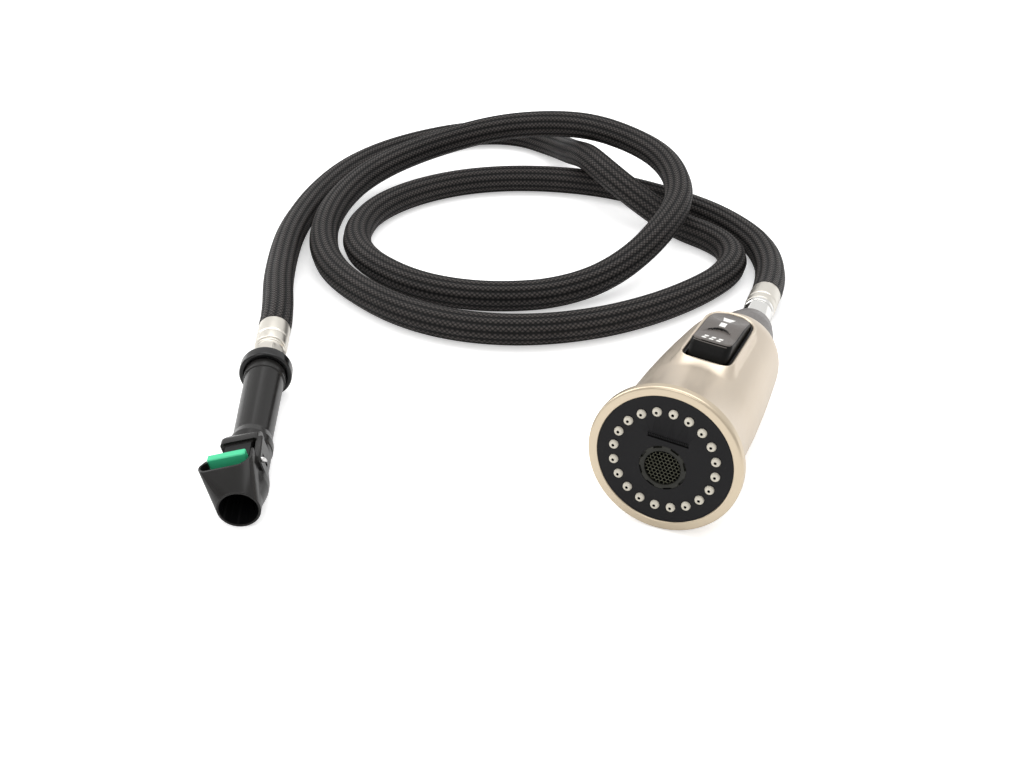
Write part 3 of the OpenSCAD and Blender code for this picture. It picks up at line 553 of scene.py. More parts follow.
def ring_faces(rings: int, sides: int, closed: bool = False) -> list[tuple[int, ...]]:
    """Returns the side faces of a stack of rings.

    Args:
        rings: how many rings there are.
        sides: points in each ring.
        closed: True joins the last ring to the first.

    Returns:
        Faces as tuples of point numbers.
    """
    out = []
    for i in range(rings if closed else rings - 1):
        a, b = i * sides, ((i + 1) % rings) * sides
        for j in range(sides):
            k = (j + 1) % sides
            out.append((a + j, a + k, b + k, b + j))
    return out


def loft(rings: Sequence[Sequence[Sequence[float]]], closed: bool = False) -> Shape:
    """Joins rings of equal length into a skin.

    Args:
        rings: rings of points.
        closed: True joins the last ring to the first, in place of an end face on each.

    Returns:
        Points and faces.
    """
    sides = len(rings[0])
    verts = [p for ring in rings for p in ring]
    faces = ring_faces(len(rings), sides, closed)
    if not closed:
        faces += [tuple(range(sides - 1, -1, -1)),
                  tuple(range((len(rings) - 1) * sides, len(rings) * sides))]
    return verts, faces


def fillet(points: Sequence[tuple[float, ...]], steps: int = 6) -> list[Point2]:
    """Rounds the corners of a closed profile.

    Args:
        points: (x, y) or (x, y, radius) corners.
        steps: pieces in each rounding.

    Returns:
        The rounded profile.
    """
    out: list[Point2] = []
    count = len(points)
    for i, p in enumerate(points):
        here = Vector(p[:2])
        radius = p[2] if len(p) > 2 else 0.0
        if radius <= 0:
            out.append(tuple(here))
            continue
        before = Vector(points[i - 1][:2]) - here
        after = Vector(points[(i + 1) % count][:2]) - here
        angle = before.angle(after)
        cut = min(radius / math.tan(angle / 2), before.length * 0.49, after.length * 0.49)
        radius = cut * math.tan(angle / 2)
        start, end = here + before.normalized() * cut, here + after.normalized() * cut
        mid = (before.normalized() + after.normalized()).normalized()
        centre = here + mid * (radius / math.sin(angle / 2))
        for k in range(steps + 1):
            along = start.lerp(end, k / steps) - centre
            out.append(tuple(centre + along.normalized() * radius))
    return out


def circle(r: float, l: float, sides: int) -> list[Point3]:
    """Returns a ring of points about the Y axis, at a distance along it."""
    return [(r * math.sin(2 * math.pi * k / sides), l, r * math.cos(2 * math.pi * k / sides))
            for k in range(sides)]


def lathe(profile: Sequence[Point2], sides: int = 128) -> Shape:
    """Revolves a closed profile of (radius, distance) points about the Y axis."""
    return loft([circle(r, l, sides) for r, l in profile], closed=True)


def joined(*shapes: Shape) -> Shape:
    """Returns several shapes as one."""
    verts: list = []
    faces: list = []
    for points, sides in shapes:
        faces += [tuple(i + len(verts) for i in face) for face in sides]
        verts += points
    return verts, faces


def turned(name: str, profile: Sequence[tuple[float, ...]], place: Matrix, finish: Finish,
           sides: int = 128, sharp: float = 40.0, steps: int = 6) -> Object:
    """Returns a body turned about the Y axis.

    Args:
        name: the object's name.
        profile: (radius, distance) or (radius, distance, rounding) corners.
        place: placement of the local frame, in millimetres.
        finish: the surface it gets.
        sides: points in each ring.
        sharp: edges steeper than this many degrees stay sharp.
        steps: pieces in each rounding.

    Returns:
        The new object.
    """
    return new_object(name, lathe(fillet(profile, steps), sides), place, finish, sharp)


def block(left: float, right: float, front: float, back: float) -> list[Point2]:
    """Returns a rectangular plan of (x, l) points."""
    return [(left, front), (right, front), (right, back), (left, back)]


def prism(plan: Sequence[Point2], low: float, high: float) -> Shape:
    """Returns a plan of (x, l) points raised from one height to another."""
    return loft([[(x, l, z) for x, l in plan] for z in (low, high)])


def set_nodes(obj: Object, group: GeometryNodeTree,
              values: dict[str, object]) -> None:
    """Adds a node group to an object as a modifier and sets its named inputs.

    Args:
        obj: the object.
        group: the node group.
        values: the value of each input, by its name.
    """
    step = obj.modifiers.new(group.name, "NODES")
    step.node_group = group
    for item in group.interface.items_tree:
        if item.item_type == "SOCKET" and item.in_out == "INPUT" and item.name in values:
            step[item.identifier] = values[item.name]


def evaluated_copy(obj: Object, name: str) -> Mesh:
    """Returns a mesh of an object with its modifiers applied, and removes the object."""
    graph = bpy.context.evaluated_depsgraph_get()
    graph.update()
    mesh = bpy.data.meshes.new_from_object(obj.evaluated_get(graph))
    mesh.name = name
    discard(obj)
    return mesh


def carve(obj: Object, finish: Finish, cutters: Sequence[Object],
          joins: Sequence[Object] = (), sharp: float = 32.0) -> Object:
    """Joins objects to an object and then cuts others out of it.

    Args:
        obj: the object that is worked on.
        finish: the surface of the result.
        cutters: the objects that are taken away, which are removed.
        joins: the objects that are added first, which are removed.
        sharp: edges steeper than this many degrees stay sharp.

    Returns:
        The worked object, under the same name.
    """
    name = obj.name
    obj.name = name + "_raw"
    for tool, operation in [(t, "UNION") for t in joins] + [(t, "DIFFERENCE")
                                                            for t in cutters]:
        step = obj.modifiers.new("carve", "BOOLEAN")
        step.operation = operation
        step.solver = "EXACT"
        step.object = tool
    mesh = evaluated_copy(obj, name)
    for tool in (*joins, *cutters):
        discard(tool)
    return finish_object(name, mesh, finish, sharp)


def merge(kept: Object, added: Object) -> Object:
    """Adds one object's mesh and materials to another and removes it.

    Args:
        kept: the object that stays.
        added: the object that goes.

    Returns:
        The object that stays.
    """
    shift = {}
    for i, material in enumerate(added.data.materials):
        if material.name not in kept.data.materials:
            kept.data.materials.append(material)
        shift[i] = kept.data.materials.find(material.name)
    work = bmesh.new()
    work.from_mesh(kept.data)
    first = len(work.faces)
    work.from_mesh(added.data)
    work.faces.ensure_lookup_table()
    for face in work.faces[first:]:
        face.material_index = shift.get(face.material_index, 0)
    work.to_mesh(kept.data)
    work.free()
    discard(added)
    return kept


def refinish(obj: Object, finish: Finish,
           test: Callable[[MeshPolygon], bool]) -> Object:
    """Gives the faces that pass a test another finish.

    Args:
        obj: the object.
        finish: the finish of those faces.
        test: tells whether a face gets it.

    Returns:
        The object.
    """
    obj.data.materials.append(finish.build())
    slot = len(obj.data.materials) - 1
    for face in obj.data.polygons:
        if test(face):
            face.material_index = slot
    return obj


def hull_object(name: str, points: Sequence[Sequence[float]], place: Matrix,
                finish: Finish) -> Object:
    """Returns the convex body round some points.

    Args:
        name: the object's name.
        points: points in millimetres in the local frame.
        place: placement of the local frame, in millimetres.
        finish: the surface it gets.

    Returns:
        The new object.
    """
    work = bmesh.new()
    made = [work.verts.new(p) for p in points]
    result = bmesh.ops.convex_hull(work, input=made)
    spare = {e for e in result["geom_interior"] + result["geom_unused"]
             if isinstance(e, bmesh.types.BMVert)}
    bmesh.ops.delete(work, geom=list(spare), context="VERTS")
    bmesh.ops.dissolve_limit(work, angle_limit=math.radians(0.5), verts=work.verts,
                             edges=work.edges)
    work.verts.index_update()
    verts = [tuple(v.co) for v in work.verts]
    faces = [tuple(v.index for v in f.verts) for f in work.faces]
    work.free()
    return new_object(name, (verts, faces), place, finish)


def wire_mesh(points: Sequence[Sequence[float]], radii: Sequence[float],
              sides: int = 20) -> Shape:
    """Returns a round wire through points, with a radius at each.

    Args:
        points: the middle line.
        radii: the radius at each point.
        sides: points in each ring.

    Returns:
        Points and faces.
    """
    line = [Vector(p) for p in points]
    way = (line[1] - line[0]).normalized()
    side = way.orthogonal().normalized()
    rings = []
    for i, p in enumerate(line):
        ahead = line[min(i + 1, len(line) - 1)] - line[max(i - 1, 0)]
        turned = way.rotation_difference(ahead.normalized())
        side = (turned @ side).normalized()
        way = ahead.normalized()
        up = way.cross(side)
        rings.append([tuple(p + (side * math.cos(2 * math.pi * k / sides)
                                 + up * math.sin(2 * math.pi * k / sides)) * radii[i])
                      for k in range(sides)])
    return loft(rings)


# ------------------------------------------------------------------ hose


@dataclass
class HoseRoute:
    """The hose's middle line on the floor, in millimetres."""

    points: list[Point3] = field(default_factory=lambda: [
        (-5, 117, 9), (-7, 127, 8), (-10, 138, 7), (-15, 149, 7), (-22, 160, 7),
        (-32, 169, 7), (-44, 178, 7), (-60, 186, 7), (-84, 193, 7), (-111, 197, 7),
        (-138, 194, 7), (-164, 185, 7), (-187, 169, 7), (-204, 146, 7), (-212, 120, 7),
        (-209, 95, 7), (-197, 74, 7), (-175, 60, 7), (-150, 53, 7), (-123, 56, 7),
        (-99, 68, 7), (-80, 86, 9), (-68, 108, 14), (-62, 132, 20), (-62, 157, 23),
        (-70, 178, 26), (-84, 195, 29), (-104, 206, 31), (-129, 211, 33),
        (-155, 210, 31), (-180, 204, 27), (-202, 194, 21), (-218, 177, 17),
        (-229, 154, 14), (-232, 128, 12), (-228, 100, 10), (-217, 74, 8),
        (-198, 52, 7), (-173, 37, 7), (-145, 28, 7), (-117, 28, 7), (-90, 37, 7),
        (-65, 55, 7), (-46, 78, 7), (-34, 100, 7), (-28, 116, 7), (-26, 130, 7),
        (-29, 143, 7), (-38, 153, 7), (-50, 159, 7), (-63, 163, 7), (-74, 167, 10),
        (-84, 169, 14), (-94, 172, 18), (-104, 177, 21), (-115, 185, 23),
        (-126, 197, 22), (-139, 212, 16), (-153, 230, 10), (-167, 241, 7),
        (-183, 246, 7), (-201, 243, 7), (-219, 230, 7), (-235, 209, 7), (-246, 185, 7),
        (-251, 159, 7), (-250, 131, 7), (-245, 103, 7), (-236, 75, 8), (-223, 47, 9),
        (-208, 20, 11)])
    diameter: float = 14.0
    head_end: float = 163.0
    tail_end: float = 119.6
    step: float = 3.0
    ease: int = 16
    pieces: int = 12

    def corners(self) -> list[Vector]:
        """Returns the route with its two fixed ends."""
        inlet, conn = PLACES.bend(), PLACES.connector()
        half = self.diameter / 2
        return [inlet @ Vector((0, self.head_end, 0)),
                inlet @ Vector((0, self.head_end + half, 0)),
                *[Vector(p) for p in self.points],
                conn @ Vector((0, self.tail_end + self.diameter, 0)),
                conn @ Vector((0, self.tail_end, 0))]

    def line(self) -> list[Vector]:
        """Returns a smooth line through the route, with points a few millimetres apart."""
        p = self.corners()
        rough = [p[0]]
        for i in range(len(p) - 1):
            a, b = p[i], p[i + 1]
            before = p[i - 1] if i else a * 2 - b
            after = p[i + 2] if i + 2 < len(p) else b * 2 - a
            span = (b - a).length
            out_a = (b - before).normalized() * span
            out_b = (after - a).normalized() * span
            for k in range(1, self.pieces + 1):
                t = k / self.pieces
                t2, t3 = t * t, t * t * t
                q = (a * (2 * t3 - 3 * t2 + 1) + out_a * (t3 - 2 * t2 + t)
                     + b * (3 * t2 - 2 * t3) + out_b * (t3 - t2))
                rough.append(q)
        return self.even(rough)

    def even(self, rough: list[Vector]) -> list[Vector]:
        """Returns points at equal steps along a line, none below the floor."""
        lengths = [0.0]
        for a, b in zip(rough, rough[1:]):
            lengths.append(lengths[-1] + (b - a).length)
        count = round(lengths[-1] / self.step)
        out, i = [], 0
        for k in range(count + 1):
            want = lengths[-1] * k / count
            while i < len(rough) - 2 and lengths[i + 1] < want:
                i += 1
            share = (want - lengths[i]) / (lengths[i + 1] - lengths[i])
            q = rough[i].lerp(rough[i + 1], min(1.0, share))
            out.append(q)
        for _ in range(self.ease):
            out = out[:3] + [b.lerp((a + c) / 2, 0.5) for a, b, c in
                             zip(out[2:-4], out[3:-3], out[4:-2])] + out[-3:]
        for q in out:
            q.z = max(q.z, self.diameter / 2 + 0.1)
        return out


@dataclass
class Hose:
    """The braided hose, a fluted sleeve swept along its route by Geometry Nodes.

    Building it sets its path and its length, both in metres.
    """

    route: HoseRoute = field(default_factory=HoseRoute)
    path: list[Point3] = field(default_factory=list, init=False)
    length: float = field(default=0.0, init=False)
    play: float = 0.02
    lobes: int = 12
    flute: float = 0.55
    sides: int = 96

    def sleeve_group(self) -> GeometryNodeTree:
        """Returns the node group that sweeps a profile along a line and keeps a UV."""
        draft, given = start_group("sleeve", "Sleeve", Line="Geometry", Radius="Float",
                                   Flute="Float", Lobes="Float", Sides="Int",
                                   Surface="Material")
        line = draft.add("GeometryNodeMeshToCurve", {"Mesh": given["Line"]})
        length = draft.add("GeometryNodeSplineParameter").outputs["Length"]
        kept = draft.add("GeometryNodeStoreNamedAttribute", {
            "Geometry": line.outputs["Curve"], "Name": "run", "Value": length},
            data_type="FLOAT", domain="POINT")
        profile = draft.add("GeometryNodeCurvePrimitiveCircle", {
            "Resolution": given["Sides"], "Radius": given["Radius"]}, mode="RADIUS")
        factor = draft.add("GeometryNodeSplineParameter").outputs["Factor"]
        turns = draft.math("MULTIPLY", factor, given["Lobes"])
        wave = draft.wave("COSINE", turns, math.pi)
        dip = draft.math("MULTIPLY", draft.math("SUBTRACT", wave, 1.0), given["Flute"])
        spot = draft.add("GeometryNodeInputPosition").outputs[0]
        way = draft.add("ShaderNodeVectorMath", {0: spot}, operation="NORMALIZE")
        shift = draft.add("ShaderNodeVectorMath", {
            0: way.outputs[0], "Scale": dip}, operation="SCALE")
        fluted = draft.add("GeometryNodeSetPosition", {
            "Geometry": profile.outputs["Curve"], "Offset": shift.outputs[0]})
        around = draft.add("GeometryNodeStoreNamedAttribute", {
            "Geometry": fluted.outputs[0], "Name": "around", "Value": factor},
            data_type="FLOAT", domain="POINT")
        swept = draft.add("GeometryNodeCurveToMesh", {
            "Curve": kept.outputs[0], "Profile Curve": around.outputs[0],
            "Fill Caps": True})
        return end_group(draft, given, swept.outputs[0], "Sleeve")

    def build(self) -> Object:
        """Returns the hose, and keeps its path and length."""
        line = self.route.line()
        self.path = [tuple(p * MM) for p in line]
        self.length = sum((b - a).length for a, b in zip(line, line[1:])) * MM
        guide = link_object("hose_guide", raw_mesh(
            "hose_guide", (self.path, []), [(i, i + 1) for i in range(len(line) - 1)]))
        set_nodes(guide, self.sleeve_group(), {
            "Radius": (self.route.diameter / 2 - self.play) * MM, "Flute": self.flute * MM,
            "Lobes": float(self.lobes), "Sides": self.sides, "Surface": BRAID.build()})
        mesh = evaluated_copy(guide, "braided_hose")
        self.add_uv(mesh)
        mesh.polygons.foreach_set("use_smooth", [True] * len(mesh.polygons))
        mesh.set_sharp_from_angle(angle=math.radians(50))
        LOG.info("hose: length %.4f m, %d rings", self.length, len(line))
        return link_object("braided_hose", mesh)

    def add_uv(self, mesh: Mesh) -> None:
        """Writes the sleeve's UV: turns around, and millimetres along."""
        run = mesh.attributes["run"].data
        around = mesh.attributes["around"].data
        layer = mesh.attributes.new("sleeve_uv", "FLOAT2", "CORNER")
        for face in mesh.polygons:
            turns = [around[v].value for v in face.vertices]
            wraps = max(turns) - min(turns) > 0.5
            for k, loop in enumerate(face.loop_indices):
                u = turns[k] + 1.0 if wraps and turns[k] < 0.5 else turns[k]
                layer.data[loop].vector = (u, run[face.vertices[k]].value / MM)


# ------------------------------------------------------------------ spray head


def smooth(t: float) -> float:
    """Returns an S-shaped share between 0 and 1."""
    t = min(1.0, max(0.0, t))
    return t * t * (3 - 2 * t)


def plan_outline(width: float, front: float, back: float, corner: float,
                 grow: float = 0.0, bow: float = 0.0, fine: int = 12) -> list[Point2]:
    """Returns the plan of the rocker or its pocket: square front, round back.

    Args:
        width: full width.
        front: distance of the front edge.
        back: distance of the back's foremost point.
        corner: radius of the front corners.
        grow: how far the outline is moved outward.
        bow: how far the front's corners fall back behind its middle.
        fine: points in each corner.

    Returns:
        Points (x, l), from the middle of the front round by the right.
    """
    half, low, high = width / 2 + grow, front - grow, back + grow
    corner = max(0.05, corner + grow)
    mid = high - half
    right: list[Point2] = []
    for k in range(fine):
        right.append(((half - corner) * k / fine, low))
    for k in range(fine):
        a = math.radians(90 * k / fine)
        right.append((half - corner + corner * math.sin(a),
                      low + corner - corner * math.cos(a)))
    for k in range(3 * fine):
        right.append((half, low + corner + (mid - low - corner) * k / (3 * fine)))
    for k in range(3 * fine + 1):
        a = math.radians(90 * k / (3 * fine))
        right.append((half * math.cos(a), mid + half * math.sin(a)))
    if bow:
        right = [(x, l + bow * (x / half) ** 2 * max(0.0, 1 - (l - low) / (mid - low)))
                 for x, l in right]
    left = [(-x, l) for x, l in reversed(right[1:-1])]
    return right + left


@dataclass
class HeadShell:
    """The satin shell of the spray head with its raised pad and pocket.

    The runs are the start, step and count of the skin's rings, and the inner levels are
    where the hollow has one.
    """

    rim_depth: float = 4.0
    length: float = 101.0
    flare: float = 26.4
    waist: float = 23.3
    waist_l: float = 30.0
    shoulder: float = 20.1
    shoulder_l: float = 84.0
    back: float = 13.6
    wall: float = 1.8
    pad_h: float = 24.0
    pad_margin: float = 1.2
    pad_side: float = 4.6
    pad_front: float = 4.8
    pocket_front: float = 34.7
    pocket_back: float = 78.35
    pocket_w: float = 17.5
    pocket_corner: float = 2.4
    pocket_floor: float = 8.0
    lip: float = 0.75
    lip_steps: int = 8
    pad_corner: float = 6.0
    pad_fall: float = 1.8
    pad_turn: float = 50.0
    end_curve: float = 2.2
    waist_curve: float = 1.6
    mouth: float = 23.8
    hole: float = 10.4
    points: int = 80
    front_inset: float = 0.3
    back_round: float = 0.12
    runs: tuple[tuple[float, float, int], ...] = (
        (4.25, 0.7, 37), (29.9, 0.5, 18), (38.9, 1.0, 30), (68.9, 0.55, 30), (85.4, 0.6, 26))
    inner: tuple[float, ...] = (96.0, 90.0, 84.0, 76.0, 66.0, 56.0, 46.0, 38.0, 30.0, 24.0,
                                18.0, 13.0, 10.0)

    def radius(self, l: float) -> float:
        """Returns the radius of the plain shell at a distance behind the rim."""
        if l < self.waist_l:
            share = (self.waist_l - l) / (self.waist_l - self.rim_depth)
            return self.waist + (self.flare - self.waist) * share ** self.end_curve
        if l < self.shoulder_l:
            share = (l - self.waist_l) / (self.shoulder_l - self.waist_l)
            return self.waist - (self.waist - self.shoulder) * share ** self.waist_curve
        slope = (self.waist_curve * (self.waist - self.shoulder)
                 / (self.shoulder_l - self.waist_l))
        span = self.length - self.shoulder_l
        drop = self.shoulder - self.back - slope * span
        share = (l - self.shoulder_l) / span
        return self.shoulder - slope * span * share - drop * share ** self.end_curve

    def pad_share(self, x: float, l: float) -> float:
        """Returns how much of the flat pad a point keeps, from 1 on it to 0."""
        half = self.pocket_w / 2 + self.pad_margin
        front = self.pocket_front - self.pad_margin
        mid = self.pocket_back + self.pad_margin - half
        corner = self.pad_corner
        if l > mid:
            side, ahead = max(0.0, math.hypot(x, l - mid) - half), 0.0
        else:
            side = abs(x) - half + corner
            ahead = front + corner - l
            if side > 0 and ahead > 0:
                far = max(0.0, math.hypot(side, ahead) - corner)
                part = side / (side + ahead)
                side, ahead = far * part, far * (1 - part)
            else:
                side, ahead = max(0.0, side - corner), max(0.0, ahead - corner)
        t = min(1.0, math.hypot(side / self.pad_side, ahead / self.pad_front))
        return (1 - t) ** self.pad_fall

    def skin(self, l: float, a: float) -> float:
        """Returns the shell's radius in a direction, in degrees from the top."""
        base = self.radius(l)
        if abs(a) > self.pad_turn:
            return base
        flat = self.pad_h / math.cos(math.radians(a))
        x = self.pad_h * math.tan(math.radians(a))
        return base + self.pad_share(x, l) * max(0.0, flat - base)

    def stations(self) -> list[float]:
        """Returns the distances at which the skin has a ring."""
        return [start + k * step for start, step, count in self.runs for k in range(count)
                if start + k * step < self.length - 0.3]

    def turns(self) -> list[float]:
        """Returns the directions of the skin's points, in degrees from the top."""
        fine = 2 * self.pad_turn / self.points
        coarse = (360 - 2 * self.pad_turn) / self.points
        return ([k * fine - self.pad_turn for k in range(self.points)]
                + [self.pad_turn + k * coarse for k in range(self.points)])

    def ring(self, l: float, radius: float | None = None) -> list[Point3]:
        """Returns a round ring, or one of the skin where no radius is given."""
        out = []
        for way in self.turns():
            a = way if way <= 180 else way - 360
            r, t = self.skin(l, a) if radius is None else radius, math.radians(a)
            out.append((r * math.sin(t), l, r * math.cos(t)))
        return out

    def build(self) -> Object:
        """Returns the shell with its pocket cut out."""
        end, back = self.length, self.length - self.wall
        rings = [self.ring(self.rim_depth, self.flare - self.front_inset)]
        rings += [self.ring(l) for l in self.stations()]
        rings += [self.ring(l, r) for l, r in (
            (end - self.back_round, self.back + 0.05), (end, self.back - 0.3),
            (end, self.hole), (back, self.hole), (back, self.back - self.wall),
            *((l, self.radius(l) - self.wall) for l in self.inner),
            (self.inner[-1], self.mouth), (self.rim_depth, self.mouth))]
        place = PLACES.head()
        shell = new_object("shell_body", loft(rings, closed=True), place, NICKEL)
        return carve(shell, NICKEL, [self.pocket_cutter(place)])

    def pocket_cutter(self, place: Matrix) -> Object:
        """Returns the body that cuts the pocket and leaves a rounded lip."""
        foot, steps = self.pad_h - self.lip, self.lip_steps
        levels = [(self.pocket_floor, 0.0), (foot, 0.0)]
        for k in range(1, steps + 1):
            a = math.radians(90 * k / steps)
            levels.append((foot + self.lip * math.sin(a) + 0.002 * (k == steps),
                           self.lip * (1 - math.cos(a))))
        levels.append((self.pad_h + 6, self.lip))
        rings = [[(x, l, z) for x, l in plan_outline(
            self.pocket_w, self.pocket_front, self.pocket_back, self.pocket_corner, grow)]
            for z, grow in levels]
        return new_object("pocket_cutter", loft(rings), place, FRAME_BLACK_AND_SHADE)


@dataclass
class SprayFace:
    """The ring, nozzles and mat of the spray face."""

    rim: float = 27.7
    face: float = 24.2
    skirt: float = 23.7
    ledge: float = 22.5
    nozzle_count: int = 20
    nozzle_circle: float = 18.35
    nozzle: float = 1.65
    bore: float = 0.52
    plate_front: float = 0.4
    tip_out: float = 0.8
    screen: float = 6.55
    screen_l: float = 0.9
    screen_z: float = -3.1
    screen_t: float = 1.2
    cell: float = 1.4
    web: float = 0.26
    comb_rows: int = 13
    painted_shade_slope: float = 0.3
    near: float = 0.02
    mat: tuple[Point2, ...] = ((15.2, 2.65), (22.4, 2.65), (22.4, 4.3), (15.2, 4.3))

    def ring(self) -> Object:
        """Returns the satin ring round the face."""
        inner = self.face + 0.06
        return turned("rim_ring", [
            (inner, 2.6), (inner, 0.0, 0.45), (self.rim, 0.0, 1.0),
            (self.rim, 3.55, 0.45), (self.rim - 1.45, 3.9, 0.1),
            (self.rim - 1.45, 4.0), (self.skirt, 4.0), (self.skirt, 9.0),
            (self.ledge, 9.0), (self.ledge, 2.6)],
            PLACES.head(), RIM_NICKEL, sides=192, sharp=32, steps=8)

    def tip_mesh(self) -> Mesh:
        """Returns one domed nozzle tip at the origin."""
        n, b, out = self.nozzle, self.bore, self.tip_out
        profile = [(b, 3.6), (b, 0.2), (b, -out + 0.1), (b + 0.10, -out),
                   (n - 0.95, -out + 0.01), (n - 0.62, -out + 0.10),
                   (n - 0.32, -out + 0.28), (n - 0.12, -out + 0.55),
                   (n - 0.03, -out + 0.85), (n, self.plate_front), (n, 3.6)]
        return raw_mesh("nozzle_tip", lathe(profile, 28))

    def circle_group(self) -> GeometryNodeTree:
        """Returns the node group that sets a tip on every point of a circle."""
        draft, given = start_group("nozzle_circle", "Nozzles", Tip="Geometry", Count="Int",
                                   Radius="Float", Surface="Material")
        spots = draft.add("GeometryNodeMeshCircle", {
            "Vertices": given["Count"], "Radius": given["Radius"]})
        stood = draft.add("GeometryNodeTransform", {
            "Geometry": spots.outputs[0], "Rotation": (math.radians(90), 0, 0)})
        spread = draft.add("GeometryNodeInstanceOnPoints", {
            "Points": stood.outputs[0], "Instance": given["Tip"]})
        return end_group(draft, given, spread.outputs[0], "Nozzles")

    def nozzles(self) -> Object:
        """Returns the rubber mat with its twenty tips."""
        tip = link_object("tip", self.tip_mesh())
        set_nodes(tip, self.circle_group(), {
            "Count": self.nozzle_count, "Radius": self.nozzle_circle,
            "Surface": NOZZLE_RUBBER.build()})
        mesh = evaluated_copy(tip, "nozzle_tips")
        work = bmesh.new()
        work.from_mesh(mesh)
        verts, faces = lathe(self.mat, 96)
        made = [work.verts.new(v) for v in verts]
        for f in faces:
            work.faces.new([made[i] for i in f])
        work.to_mesh(mesh)
        work.free()
        mesh.transform(Matrix.Scale(MM, 4) @ PLACES.head())
        tips = finish_object("nozzle_tips", mesh, NOZZLE_RUBBER, 40)
        # The faces in each tip's bore get the black finish as painted shade.
        return refinish(tips, FRAME_BLACK_AND_SHADE, self.in_shaded_bore)

    def in_shaded_bore(self, face: MeshPolygon) -> bool:
        """Returns whether a face of the mat lies in the bore of a tip, which is painted black
        as shade.
        """
        spot = PLACES.head().inverted() @ (face.center / MM)
        step = 2 * math.pi / self.nozzle_count
        turned = math.atan2(spot.x, spot.z)
        nearest = round(turned / step) * step
        away = math.hypot(spot.x - self.nozzle_circle * math.sin(nearest),
                          spot.z - self.nozzle_circle * math.cos(nearest))
        return away < self.bore + self.near and spot.y > 3 * self.near - self.tip_out

    def comb_group(self) -> GeometryNodeTree:
        """Returns the node group that sets a cell on every point of a comb."""
        draft, given = start_group("comb", "Comb", Cell="Geometry", Pitch="Float",
                                   Radius="Float", Count="Int", Surface="Material")
        spots = draft.add("GeometryNodePoints", {"Count": draft.math(
            "MULTIPLY", given["Count"], given["Count"])})
        index = draft.add("GeometryNodeInputIndex").outputs[0]
        row = draft.math("FLOOR", draft.math("DIVIDE", index, given["Count"]))
        column = draft.math("SUBTRACT", index, draft.math("MULTIPLY", row, given["Count"]))
        middle = draft.math("MULTIPLY", draft.math("SUBTRACT", given["Count"], 1.0), 0.5)
        odd = draft.math("FLOORED_MODULO", row, 2.0)
        across = draft.math("MULTIPLY", given["Pitch"], draft.math(
            "MULTIPLY_ADD", odd, 0.5, draft.math("SUBTRACT", column, middle)))
        up = draft.math("MULTIPLY", draft.math("MULTIPLY", given["Pitch"], math.sqrt(0.75)),
                        draft.math("SUBTRACT", row, middle))
        place = draft.add("ShaderNodeCombineXYZ", {0: across, 2: up})
        laid = draft.add("GeometryNodeSetPosition", {
            "Geometry": spots.outputs[0], "Position": place.outputs[0]})
        spread = draft.add("GeometryNodeInstanceOnPoints", {
            "Points": laid.outputs[0], "Instance": given["Cell"],
            "Selection": draft.math("LESS_THAN", draft.math("SQRT", draft.math(
                "ADD", draft.math("MULTIPLY", across, across),
                draft.math("MULTIPLY", up, up))), given["Radius"])})
        return end_group(draft, given, spread.outputs[0], "Comb")

    def honeycomb(self) -> Object:
        """Returns the honeycomb screen of the aerator, whose cell walls are painted black as
        shade.
        """
        outer, inner = self.cell / math.sqrt(3), (self.cell - self.web) / math.sqrt(3)
        front, back = self.screen_l, self.screen_l + self.screen_t
        rings = [circle(r, l, 6) for r, l in (
            (outer, front + 0.12), (inner + 0.05, front), (inner, front + 0.1),
            (inner, back), (outer, back))]
        cell = link_object("cell", raw_mesh("cell", loft(rings, closed=True)))
        set_nodes(cell, self.comb_group(), {
            "Pitch": self.cell, "Radius": self.screen + 0.25, "Count": self.comb_rows,
            "Surface": SCREEN_GREY.build()})
        comb = evaluated_copy(cell, "screen_comb")
        for v in comb.vertices:
            r = math.hypot(v.co.x, v.co.z)
            if r > self.screen:
                v.co.x, v.co.z = v.co.x * self.screen / r, v.co.z * self.screen / r
        comb.transform(Matrix.Scale(MM, 4) @ rise(
            PLACES.head(), Matrix.Translation((0, 0, self.screen_z))))
        screen = finish_object("screen_comb", comb, SCREEN_GREY, 30)
        ahead = (PLACES.head().to_3x3() @ Vector((0, -1, 0))).normalized()
        # Faces that don't face forward get the black finish: painted shade in the cells.
        return refinish(screen, FRAME_BLACK_AND_SHADE,
                        lambda face: face.normal.dot(ahead) < self.painted_shade_slope)


